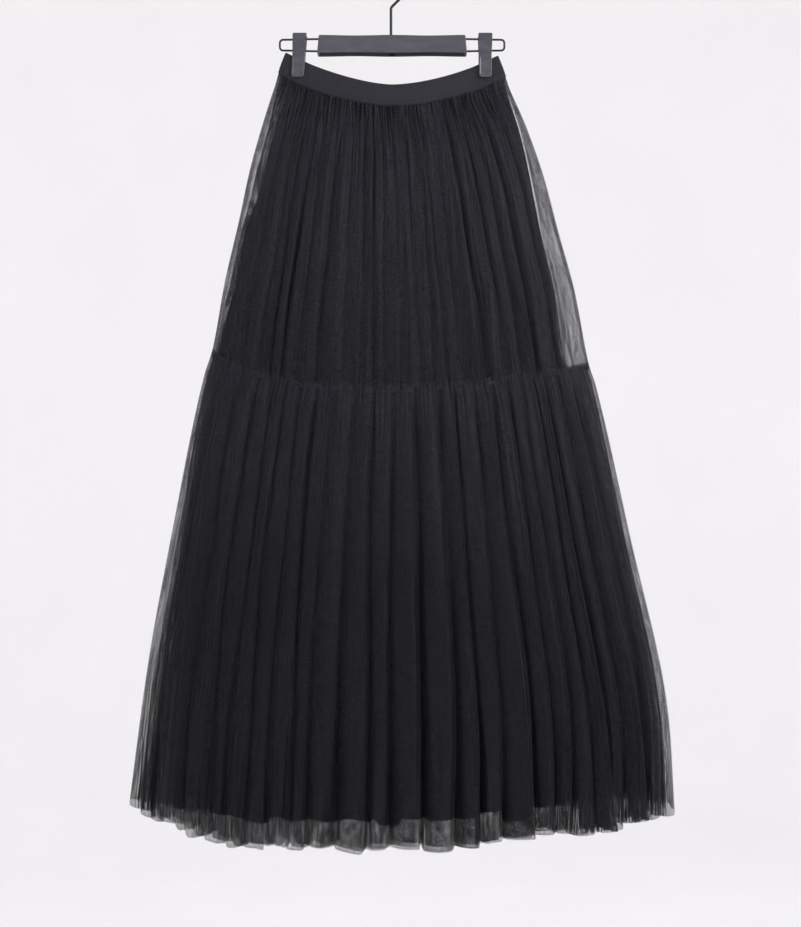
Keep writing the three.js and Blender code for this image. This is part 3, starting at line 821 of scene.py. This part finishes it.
def grey_moulded_plastic(name, dark, light, gloss):
    """Polystyrene, injection moulded in dark grey with a satin mould finish: fine spark-eroded grain
    and faint flow marks."""
    material, tree = new_material(name)
    place = add_node(tree, "TexCoord", output="Object")
    # Real grain is about 0.1 mm. It is drawn at 0.8 mm, as coarse as it needs to show.
    grain = add_node(tree, "TexNoise", {"Vector": place, "Scale": 1300.0, "Detail": 2.0})
    stretched = add_node(tree, "Mapping", {"Vector": place, "Scale": (30.0, 60.0, 110.0)})
    flow = add_node(tree, "TexNoise", {"Vector": stretched, "Scale": 1.0, "Detail": 4.0})
    tone = add_node(tree, "MapRange", {"Value": flow, "From Min": 0.3, "From Max": 0.7})
    rough = add_node(tree, "Math", (grain, 0.2, gloss), operation="MULTIPLY_ADD")
    bump = add_node(tree, "Bump", {"Strength": 0.12, "Distance": 0.2 * MM, "Height": grain})
    finish_material(tree, tone, dark, light, {"Roughness": rough, "IOR": 1.59, "Normal": bump})
    return material


def black_enamelled_wire():
    """Drawn steel wire, dipped in black enamel: glossy, with slight runs and thin places."""
    material, tree = new_material("black enamel on drawn steel wire")
    place = add_node(tree, "TexCoord", output="Object")
    runs = add_node(tree, "TexNoise", {"Vector": place, "Scale": 220.0, "Detail": 3.0})
    rough = add_node(tree, "Math", (runs, 0.25, 0.32), operation="MULTIPLY_ADD")
    bump = add_node(tree, "Bump", {"Strength": 0.15, "Distance": 0.3 * MM, "Height": runs})
    look = {
        "Roughness": rough,
        "IOR": 1.5,
        "Coat Weight": 0.1,
        "Coat Roughness": 0.2,
        "Normal": bump,
    }
    finish_material(tree, runs, "#060607", "#121214", look)
    return material


def plated_spring_steel():
    """Spring steel wire with zinc plating: grey metal, brushed round by the drawing."""
    material, tree = new_material("zinc plated spring steel, drawn")
    place = add_node(tree, "TexCoord", output="Object")
    dull = add_node(tree, "TexNoise", {"Vector": place, "Scale": 900.0, "Detail": 3.0})
    rough = add_node(tree, "Math", (dull, 0.25, 0.25), operation="MULTIPLY_ADD")
    finish_material(tree, dull, "#8C8C90", "#B9B9BC", {"Metallic": 1.0, "Roughness": rough})
    return material


def pale_studio_paint(glow):
    """Matt emulsion paint on a smooth studio cove, rolled: pale, even, without gloss."""
    material, tree = new_material("pale matt paint, rolled")
    place = add_node(tree, "TexCoord", output="Object")
    stipple = add_node(tree, "TexNoise", {"Vector": place, "Scale": 3.0, "Detail": 2.0})
    look = {"Roughness": 0.95, "Emission Color": linear("#FCFAFC"), "Emission Strength": glow}
    finish_material(tree, stipple, "#E0DFE0", "#E6E5E6", look)
    return material


# Settings that a user would change


class SkirtCloth(bpy.types.PropertyGroup):
    """The look of the cloth"""

    fold_depth: bpy.props.FloatProperty(
        name="Fold depth",
        description="Depth of all folds, as a share of the usual",
        default=1.0,
        min=0.2,
        max=1.1,
    )
    thread_cover: bpy.props.FloatProperty(
        name="Thread cover",
        description="How much one thread of the net hides",
        default=0.8,
        min=0.1,
        max=1.0,
    )
    hole_cover: bpy.props.FloatProperty(
        name="Hole cover",
        description="How much one hole of the net hides",
        default=0.03,
        min=0.0,
        max=0.5,
    )


class SkirtStudio(bpy.types.PropertyGroup):
    """The light and the backdrop"""

    key_power: bpy.props.FloatProperty(
        name="Key light",
        description="Power of the large light at the right",
        default=46.0,
        unit="POWER",
    )
    fill_power: bpy.props.FloatProperty(
        name="Fill light",
        description="Power of the soft light at the left",
        default=7.0,
        unit="POWER",
    )
    floor_height: bpy.props.FloatProperty(
        name="Floor height",
        description="Height of the floor under the hook",
        default=-1.9,
        unit="LENGTH",
    )


# Pieces


def cloth_ply(name, material):
    """Builds one ply of the table, with its cloth coordinates and how bunched it is."""
    width, height = CUTS[name]
    width *= GATHERS
    points, bunched, level = ply_grid(PLIES[name], width, bpy.context.scene.skirt_cloth.fold_depth)
    rows, columns = points.shape[:2]
    uv = grid_uv(np.arange(columns) / columns * width, -level * height)
    piece = mesh_object(name, points, grid_faces(rows, columns), material, uv, bunched)
    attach(piece, "root")
    return piece


class OBJECT_OT_skirt_stage(bpy.types.Operator):
    """Builds the floor, the round cove, the lights and the camera"""

    bl_idname = "object.skirt_stage"
    bl_label = "Stage, lights and camera"

    def execute(self, context):
        studio = context.scene.skirt_studio
        add_stage(studio.floor_height)
        add_lights(studio)
        add_camera()
        return {"FINISHED"}


def add_stage(floor):
    """A floor of 4 m that turns up into a round wall: the profile is a line, a quarter circle of 1.4 m
    and a line, turned about the upright axis."""
    sides = 96
    reach, bend = 4.0, 1.4
    quarter = np.linspace(0, np.pi / 2, 14)
    flat = np.linspace(0.0, 0.9 * reach, 7)
    wall = [reach + bend] * 2
    radius = np.concatenate([flat, reach + bend * np.sin(quarter), wall])[::-1, None]
    height = np.concatenate([0 * flat + floor, floor + bend * (1 - np.cos(quarter)), [2.0, 4.5]])
    angle = 2 * np.pi * np.arange(sides) / sides
    upright = np.repeat(height[::-1, None], sides, 1)
    points = np.stack([radius * np.cos(angle), radius * np.sin(angle), upright], axis=2)
    faces = grid_faces(len(radius), sides)[:, ::-1]
    cove = mesh_object("studio_cove", points / MM, faces, pale_studio_paint(0.225), weld=True)
    world = bpy.data.worlds.new("studio light")
    world.use_nodes = True
    background = world.node_tree.nodes["Background"]
    background.inputs["Color"].default_value = linear("#FAFAFB")
    background.inputs["Strength"].default_value = 0.7
    bpy.context.scene.world = world


def add_light(name, place, aim, size, power, colour):
    """A square area light that points from its place to the aim and is not seen itself."""
    data = bpy.data.lights.new(name, "AREA")
    data.shape = "SQUARE"
    data.size = size
    data.energy = power
    data.color = linear(colour)[:3]
    light = bpy.data.objects.new(name, data)
    bpy.context.scene.collection.objects.link(light)
    direction = np.array(aim, float) - np.array(place, float)
    light.location = place
    azimuth = math.atan2(direction[1], direction[0]) - math.pi / 2
    flat = math.hypot(direction[0], direction[1])
    light.rotation_euler = (math.atan2(flat, -direction[2]), 0, azimuth)
    light.visible_camera = False


def add_lights(studio):
    """A key light at the front right, a fill light at the front left and one behind."""
    add_light("key", (2.5, -1.9, 0.8), (0, 0, -0.55), 1.1, studio.key_power, "#FFFFFF")
    add_light("fill", (-2.6, -2.4, -0.4), (0, 0, -0.6), 2.0, studio.fill_power, "#F4F6FF")
    add_light("back", (0.6, 2.8, 0.9), (0, 0, -0.6), 1.8, studio.fill_power * 1.6, "#FFFFFF")


def add_camera():
    """The photograph's camera: level, its focal length from the pixels of the picture's long side."""
    data = bpy.data.cameras.new("camera")
    data.sensor_width = SENSOR
    data.lens = SENSOR * FOCAL_PIXELS / PHOTO_HEIGHT
    camera = bpy.data.objects.new("camera", data)
    bpy.context.scene.collection.objects.link(camera)
    camera.location = CAMERA_PLACE
    camera.rotation_euler = (math.pi / 2, 0, 0)
    scene = bpy.context.scene
    scene.camera = camera
    scene.view_settings.view_transform = "Standard"
    scene.cycles.transparent_max_bounces = 48


class OBJECT_OT_skirt_upper_tier(bpy.types.Operator):
    """Builds the two net plies of the upper tier"""

    bl_idname = "object.skirt_upper_tier"
    bl_label = "Upper tier"

    def execute(self, context):
        cloth = context.scene.skirt_cloth
        cover = (cloth.thread_cover, cloth.hole_cover)
        # The last two numbers set the net's painted shade: lightest at -0.18 m, darkest from -0.5 m down.
        net = black_nylon_tulle("black nylon tulle, upper tier", *cover, "#1A191E", "#302F38", -0.18, -0.5)
        outer = cloth_ply("upper_tulle_outer", net)
        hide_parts("upper_tier_front", "upper_tier_back")
        under = cloth_ply("upper_tulle_under", net)
        return {"FINISHED"}


class OBJECT_OT_skirt_lower_tier(bpy.types.Operator):
    """Builds the three net plies of the lower tier and the bunched seam above them"""

    bl_idname = "object.skirt_lower_tier"
    bl_label = "Lower tier and tier seam"

    def execute(self, context):
        cloth = context.scene.skirt_cloth
        cover = (cloth.thread_cover, cloth.hole_cover)
        # Where the lower nets' painted shade runs: lightest at the first value, darkest from the second down.
        painted_shade_heights = (-0.48, -0.72)
        net = black_nylon_tulle("black nylon tulle, lower tier", *cover, "#131317", "#2B2A33", *painted_shade_heights)
        outer = cloth_ply("lower_tulle_outer", net)
        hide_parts("lower_tier_front", "lower_tier_back")
        seam = tier_seam()
        name = "black nylon net, close, lower tier"
        close = black_nylon_tulle(name, 0.85, 0.05, "#101013", "#26252D", *painted_shade_heights)
        plies = [outer, cloth_ply("lower_tulle_middle", close), cloth_ply("lower_tulle_inner", close)]
        return {"FINISHED"}


def tier_seam():
    """The bunched allowance between the tiers: a flat oval section of about 4 mm by 2 mm carried round
    the skirt, whose height and thickness vary with two runs of small gathers."""
    columns, around = 1500, 12
    loop_count = 210
    ring = np.arange(columns)[None, :] / columns
    turn = (2 * np.pi * np.arange(around) / around)[:, None]
    middle = np.array([SEAM_TOP + SEAM_HEIGHT / 2])
    inset = np.array([3.4])
    x, y, _, _ = oval_rings(middle, inset, inset, inset, columns)
    loops = np.cos(2 * np.pi * (loop_count * ring + drift(ring, 0 * ring, 501, 60, 0.5)))
    puffs = drift(ring, 0 * ring, 502, 160, 0.5)
    out = np.cos(turn) * (1.1 + 0.4 * loops + 0.3 * puffs) + 0.6 * loops
    up = np.sin(turn) * (2.2 + 0.8 * puffs + 0.7 * loops) + drift(ring, 0 * ring, 503, 90, 0.9)
    points = hang(middle, *move_out(x, y, out), up)
    rows = np.concatenate([points, points[:1]])[::-1]
    uv = grid_uv(np.arange(columns) / columns * 1.6, np.linspace(0, 0.014, around + 1))
    bunched = np.full(rows.shape[:2], 3.0)
    # The last two numbers set the seam's painted shade: lightest at -0.3 m, darkest from -0.9 m down.
    net = black_nylon_tulle("black nylon tulle, bunched seam", 0.92, 0.6, "#111015", "#33323B", -0.3, -0.9)
    seam = mesh_object("tier_seam", rows, grid_faces(around + 1, columns), net, uv, bunched)
    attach(seam, "root")
    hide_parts("tier_seam_front", "tier_seam_back")
    return seam


class OBJECT_OT_skirt_lining(bpy.types.Operator):
    """Builds the opaque lining"""

    bl_idname = "object.skirt_lining"
    bl_label = "Lining"

    def execute(self, context):
        lining = cloth_ply("skirt_lining", black_polyester_lining())
        parts = ("upper", "middle", "lower")
        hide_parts(*[f"lining_{part}_{side}" for part in parts for side in ("front", "back")])
        return {"FINISHED"}


class OBJECT_OT_skirt_waistband(bpy.types.Operator):
    """Builds the elastic waistband and its stitching"""

    bl_idname = "object.skirt_waistband"
    bl_label = "Waistband"

    def execute(self, context):
        band = waistband()
        stitches = waistband_stitches()
        return {"FINISHED"}


def band_rings(drops, out, columns):
    """Rings of the waistband at each drop, moved outwards from the band's middle line by out."""
    inset = np.zeros(len(drops))
    x, y, _, _ = oval_rings(drops, inset, inset, inset, columns)
    return hang(drops, *move_out(x, y, out))


def waistband():
    """The band's wall is 2.4 mm thick with a rolled top edge. Its profile runs up the outside, over a
    half round and down the inside. The outside swells a little between its two edges, and the row of
    stitches draws it in and puckers it."""
    columns, puckers = 760, 96
    half = WAISTBAND_HALF_WALL
    height = np.linspace(WAISTBAND_HEIGHT, half, 18)
    roll = np.linspace(0, np.pi, 9)[1:-1]
    drops = np.concatenate([height, half - half * np.sin(roll), height[::-1]])
    taper = 1 - 0.85 * ramp(height, STITCH_DROP, 3.0)
    out = np.concatenate([half * taper, half * np.cos(roll), -half * taper[::-1]])[:, None]
    share = (drops / WAISTBAND_HEIGHT)[:, None]
    ring = np.arange(columns)[None, :] / columns
    stitched = np.exp(-(((drops[:, None] - STITCH_DROP) / 1.3) ** 2))
    pucker = np.cos(2 * np.pi * (puckers * ring + drift(ring, 0 * ring, 611, 40, 0.4)))
    swell = 0.35 * np.sin(np.pi * share) - 0.55 * stitched + 0.12 * pucker * share**2
    points = band_rings(np.clip(drops, 0, None), out + np.sign(out) * swell * (share > 0.05), columns)
    points = np.concatenate([points, points[:1]])[::-1]
    step = 2.3 * MM
    uv = grid_uv(np.arange(columns) / columns * CUTS["waistband"][0], -step * np.arange(len(points)))
    faces = grid_faces(len(points), columns)
    band = mesh_object("waistband", points, faces, black_knitted_elastic(), uv, weld=True)
    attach(band, "root")
    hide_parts("waistband_front", "waistband_back")
    return band


def waistband_stitches():
    """A row of stitches round the band, 3 mm above its lower edge: short bars 2.2 mm long and 3.2 mm
    apart, each a flattened arch of six sides."""
    count, steps, sides = 160, 6, 6
    line = band_rings(np.array([STITCH_DROP]), 1.25, count * 8)[0].reshape(count, 8, 3)[:, :steps]
    arch = np.array([-0.35, 0.15, 0.4, 0.4, 0.15, -0.35])
    middle = line.mean(axis=1, keepdims=True)
    outward = middle * [1, 1, 0] / np.linalg.norm(middle[..., :2], axis=2, keepdims=True)
    outward = outward * [0.25, 1, 0]
    outward = outward / np.linalg.norm(outward, axis=2, keepdims=True)
    line = line + outward * arch[None, :, None]
    along_it = np.gradient(line, axis=1)
    along_it /= np.linalg.norm(along_it, axis=2, keepdims=True)
    first = np.cross(along_it, np.array([0, 0, 1.0]))
    first /= np.linalg.norm(first, axis=2, keepdims=True)
    second = np.cross(along_it, first)
    angle = 2 * np.pi * np.arange(sides) / sides
    ring = first[:, :, None] * np.cos(angle)[:, None] + second[:, :, None] * np.sin(angle)[:, None]
    points = line[:, :, None] + 0.28 * ring
    faces = grid_faces(steps, sides)[:, ::-1]
    every = (faces[None] + steps * sides * np.arange(count)[:, None, None]).reshape(-1, 4)
    stitches = mesh_object("waistband_stitches", points, every, black_polyester_thread())
    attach(stitches, "root")
    return stitches


class OBJECT_OT_skirt_hanger(bpy.types.Operator):
    """Builds the hanger: hook, wire ends, board, clips and springs"""

    bl_idname = "object.skirt_hanger"
    bl_label = "Hanger"

    def execute(self, context):
        wire = black_enamelled_wire()
        name = "dark grey polystyrene, moulded"
        plastic = grey_moulded_plastic(name, "#403F48", "#4F4E59", 0.28)
        clip_plastic = grey_moulded_plastic(name + ", clips", "#36353F", "#4A4955", 0.16)
        # A near-black copy of the board's plastic: painted shade for the faces under and inside the board.
        hollow = grey_moulded_plastic(name + ", hollow", "#08080A", "#0E0E11", 0.5)
        spring_steel = plated_spring_steel()
        rigid_piece("hook_wire", [tube(hook_path(), HOOK_WIRE, 20)], wire, ["hanger_hook"])
        for side, towards, tilt in (("left", -1, 2.4), ("right", 1, 0.0)):
            end = [tube(end_path(towards), END_WIRE, 16)]
            rigid_piece(f"end_wire_{side}", end, wire, [f"hanger_end_{side}"])
            x = HANGER_CENTRE + towards * CLIP_CENTRE
            levers = [clip_lever(x, -1, tilt), clip_lever(x, 1, tilt), clip_boss(x, -1), clip_boss(x, 1)]
            nodes = [f"clip_{side}_front", f"clip_{side}_back"]
            rigid_piece(f"clip_{side}", levers, clip_plastic, nodes)
            spring = [tube(spring_path(x), SPRING_WIRE, 10)]
            rigid_piece(f"spring_{side}", spring, spring_steel, [f"clip_{side}_spring"])
        bar = rigid_piece("hanger_bar", [board()], plastic, ["hanger_board"])
        paint_hollow_shade(bar, hollow)
        return {"FINISHED"}


def rigid_piece(name, parts, material, nodes):
    """Joins the parts into one piece that stands for its CAD nodes."""
    points, faces = join_parts(parts)
    piece = mesh_object(name, points, faces, material, weld=True)
    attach(piece, "root")
    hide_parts(*nodes)
    return piece


def paint_hollow_shade(bar, material):
    """Paints shade into the bar's underside and the faces of its hollow: they get a near-black copy of the
    board's plastic of their own.
    """
    bar.data.materials.append(material)
    centres = np.zeros(len(bar.data.polygons) * 3)
    bar.data.polygons.foreach_get("center", centres)
    centres = centres.reshape(-1, 3) / MM
    # The faces that get the painted shade: under the top and inside the walls, short of the closed ends.
    inside = (np.abs(centres[:, 1]) < BOARD_HALF_DEPTH - 0.4) & (centres[:, 2] < BOARD_TOP_Z - 2.5)
    inside &= np.abs(centres[:, 0] - HANGER_CENTRE) < 84
    bar.data.polygons.foreach_set("material_index", inside.astype(np.int32))


def arc(x, z, radius, start, end, count):
    """Points on an arc in the XZ plane, angles in degrees."""
    angle = np.radians(np.linspace(start, end, count))
    return np.stack([x + radius * np.cos(angle), 0 * angle, z + radius * np.sin(angle)], axis=1)


def hook_path():
    """Up out of the board, aside at 45 degrees and round over the top. The elbow turns through 45
    degrees on a small radius, centred to the right of the stem."""
    elbow_radius = 5.0
    height = np.linspace(BOARD_TOP_Z - 12, BEND_Z - 3, 12)
    stem = np.stack([0 * height, 0 * height, height], axis=1)
    elbow = arc(elbow_radius, BEND_Z - 2.07, elbow_radius, 180, 135, 9)
    round_over = arc(0, HOOK_TOP_Z - HOOK_RADIUS, HOOK_RADIUS, -45, HOOK_TIP, 60)
    return np.concatenate([stem, elbow, round_over])


def end_path(towards):
    """A U of wire, both of whose legs run into the board. They lie a little closer at its outer end."""
    tip, corner, inner, bend = 127.0, 4.0, 61.2, 85.0
    high, low = END_MIDDLE_Z + 6.3 - corner, END_MIDDLE_Z - 6.3 + corner
    leg = np.linspace(0, 1, 14)[:-1]
    top = np.stack([inner + (tip - inner) * leg, 0 * leg, 0 * leg], axis=1)
    bottom = top[::-1].copy()
    slope = ramp(top[:, 0], bend, tip - bend)
    top[:, 2] = WIRE_HIGH_Z + (high + corner - WIRE_HIGH_Z) * slope
    bottom[:, 2] = WIRE_LOW_Z + (low - corner - WIRE_LOW_Z) * slope[::-1]
    path = np.concatenate([top, arc(tip, high, corner, 90, 0, 8), arc(tip, low, corner, 0, -90, 8), bottom])
    path[:, 0] = HANGER_CENTRE + towards * path[:, 0]
    return path


def rounded_section(half_a, half_b, radius, per_corner=6):
    """A rectangle with round corners, anticlockwise, as two arrays."""
    angle = np.linspace(0, np.pi / 2, per_corner)
    a, b = [], []
    for k, (sa, sb) in enumerate([(1, 1), (-1, 1), (-1, -1), (1, -1)]):
        a.append(sa * (half_a - radius) + radius * np.cos(angle + k * np.pi / 2))
        b.append(sb * (half_b - radius) + radius * np.sin(angle + k * np.pi / 2))
    return np.concatenate(a), np.concatenate(b)


def board():
    """The bar across the middle, an open channel 22 mm deep and 20 mm high with walls of 2.4 mm, carried
    along X. Its profile runs round the outside and back round the hollow, which is filled up at the
    two ends. The ends slope outwards towards the bottom, and the long edges bow by a third of a
    millimetre."""
    deep, high, corner = BOARD_HALF_DEPTH, BOARD_HALF_HEIGHT, 1.2
    top_reach, middle_reach, bottom_reach, bow_height = 85.2, 86.0, 87.2, 0.33
    y, z = rounded_section(deep, high, corner)
    split = int(np.argmin(np.where(y < 0, z, 99)))
    y, z = np.roll(y, -split - 1), np.roll(z, -split - 1)
    hollow_y = np.array([9.2, 8.6, 8.2, 7.6, 0.0, -7.6, -8.2, -8.6, -9.2])
    hollow_z = np.array([-high, -9.6, 5.0, 6.6, 6.8, 6.6, 5.0, -9.6, -high])
    # Places along the board as shares of its half length: a round end, the end wall and the channel.
    turn = np.linspace(0, np.pi / 2, 6)
    ends = 1 - corner * (1 - np.sin(turn)) / middle_reach
    wall = np.array([0.972, 0.9735])
    share = np.concatenate([-ends[::-1], -wall[::-1], np.linspace(-0.97, 0.97, 60), wall, ends])[:, None]
    shrink = corner * (1 - np.cos(turn))
    shrink = np.concatenate([shrink[::-1], np.zeros(len(share) - 2 * len(turn)), shrink])[:, None]
    inside = np.where(np.abs(share) < wall.mean(), hollow_z[None, :], -high)
    yy = np.concatenate([y[None, :] + 0 * share, hollow_y[None, :] + 0 * share], 1) * (1 - shrink / deep)
    zz = np.concatenate([z[None, :] + 0 * share, inside], 1) * (1 - shrink / high)
    x = HANGER_CENTRE + share * (top_reach + (bottom_reach - top_reach) * (high - zz) / (2 * high))
    bow = bow_height * np.cos(2 * np.pi * share) * np.sign(zz)
    points = np.stack([x, yy, BOARD_TOP_Z - high + zz - bow_height + bow], axis=2)
    points = np.concatenate([middle_of(points[:1]), points, middle_of(points[-1:])])
    return points, grid_faces(len(points), points.shape[1])


def clip_lever(x, side, tilt):
    """One lever of a clip: a plate 2.2 mm thick whose outer face has a thumb hollow at the top and a
    raised rim round its lower half. Across it the section is a rounded rectangle, and down it the
    distance from the middle runs from 7.4 mm at the top over 5 mm at the wire to the jaw. The lever's
    foot lies aside by the tilt."""
    thick, rim_height, hollow_depth = 2.2, 0.6, 1.3
    t = np.linspace(0, 1, 56)[:, None]
    a, b = (values[None, :] for values in rounded_section(1.0, 1.0, 0.35, 7))
    width = 8.2 - 0.9 * t - 0.35 * np.exp(-(((t - 0.5) / 0.2) ** 2))
    inner = np.interp(t, [0, 0.2, 0.42, 1.0], [7.4, 6.1, 5.0, 5.9])
    edge = ramp(t, 0, 0.03) * 0.25 + 0.75
    hollow = hollow_depth * np.exp(-(((t - 0.22) / 0.12) ** 2)) * np.clip(1 - (a * 1.25) ** 2, 0, 1)
    rim = rim_height * ramp(t, 0.45, 0.15) * ramp(np.abs(a), 0.7, 0.12)
    rim = np.maximum(rim, rim_height * ramp(t, 0.93, 0.03))
    depth = inner + thick * (b + 1) / 2 * edge + (b > 0.3) * (rim - hollow)
    across = x + a * width * (0.9 + 0.1 * ramp(t, 0, 0.02)) + tilt * (0.45 - t)
    curve = 4.0 * (1 - np.sqrt(np.clip(1 - (0.98 * a) ** 2, 0, 1)))
    z = CLIP_TOP_Z - (CLIP_HEIGHT - curve) * t
    points = np.stack([across, side * depth, z], axis=2)
    foot = points[-1:].copy()
    foot[..., 1] = foot[..., 1].mean()
    points = np.concatenate([middle_of(points[:1]), points, foot])
    faces = grid_faces(len(points), points.shape[1])
    return points, faces if side > 0 else faces[:, ::-1]


def clip_boss(x, side):
    """The part between a lever and the lower wire: a half round block that holds the wire. Its profile
    is carried along X and closed by a flat back with two points."""
    half_length, back = 7.2, 0.3
    angle = np.linspace(0, np.pi, 13)
    y = np.concatenate([back + 5.4 * np.sin(angle) ** 0.5, [back, back]])
    z = WIRE_LOW_Z + np.concatenate([3.2 * np.cos(angle), [-1.6, 1.6]])
    reach = half_length * np.linspace(-1, 1, 9)[:, None]
    points = np.stack([x + reach + 0 * y, side * y + 0 * reach, z + 0 * reach], axis=2)
    points = np.concatenate([middle_of(points[:1]), points, middle_of(points[-1:])])
    faces = grid_faces(len(points), points.shape[1])
    return points, faces[:, ::-1] if side > 0 else faces


def spring_path(x):
    """Five and a half turns of wire about a line along Y, with a straight leg at each end that presses
    on its lever above the wire."""
    turns, radius, length, leg_length = 5.5, 2.35, 7.2, 6.0
    turn = np.linspace(0, turns, 120)
    angle = 2 * np.pi * turn + np.pi / 2
    y = length * (turn / turns - 0.5)
    z = END_MIDDLE_Z + 1.2 + radius * np.sin(angle)
    coil = np.stack([x + radius * np.cos(angle), y, z], axis=1)
    leg = np.linspace(1, 0, 8)[:-1, None]
    start = coil[0] + np.array([leg_length, -0.6, 0.6]) * leg
    end = coil[-1] + np.array([leg_length, 0.6, -0.6]) * leg[::-1]
    return np.concatenate([start, coil, end])


class VIEW3D_PT_skirt(bpy.types.Panel):
    """Lists the pieces of the skirt in the sidebar"""

    bl_label = "Skirt"
    bl_idname = "VIEW3D_PT_skirt"
    bl_space_type = "VIEW_3D"
    bl_region_type = "UI"
    bl_category = "Skirt"

    def draw(self, context):
        scene = context.scene
        for group in (scene.skirt_cloth, scene.skirt_studio):
            box = self.layout.box()
            for name in group.__annotations__:
                box.prop(group, name)
        for operator in OPERATORS:
            self.layout.operator(operator.bl_idname)


OPERATORS = (
    OBJECT_OT_skirt_stage,
    OBJECT_OT_skirt_waistband,
    OBJECT_OT_skirt_upper_tier,
    OBJECT_OT_skirt_lower_tier,
    OBJECT_OT_skirt_lining,
    OBJECT_OT_skirt_hanger,
)
CLASSES = (SkirtCloth, SkirtStudio, *OPERATORS, VIEW3D_PT_skirt)


def register():
    for cls in CLASSES:
        bpy.utils.register_class(cls)
    bpy.types.Scene.skirt_cloth = bpy.props.PointerProperty(type=SkirtCloth)
    bpy.types.Scene.skirt_studio = bpy.props.PointerProperty(type=SkirtStudio)


def unregister():
    del bpy.types.Scene.skirt_studio
    del bpy.types.Scene.skirt_cloth
    for cls in reversed(CLASSES):
        bpy.utils.unregister_class(cls)


def main():
    register()
    bpy.ops.object.skirt_stage()
    bpy.ops.object.skirt_hanger()
    bpy.ops.object.skirt_waistband()
    bpy.ops.object.skirt_upper_tier()
    bpy.ops.object.skirt_lower_tier()
    bpy.ops.object.skirt_lining()
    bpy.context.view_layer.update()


if __name__ == "__main__":
    main()
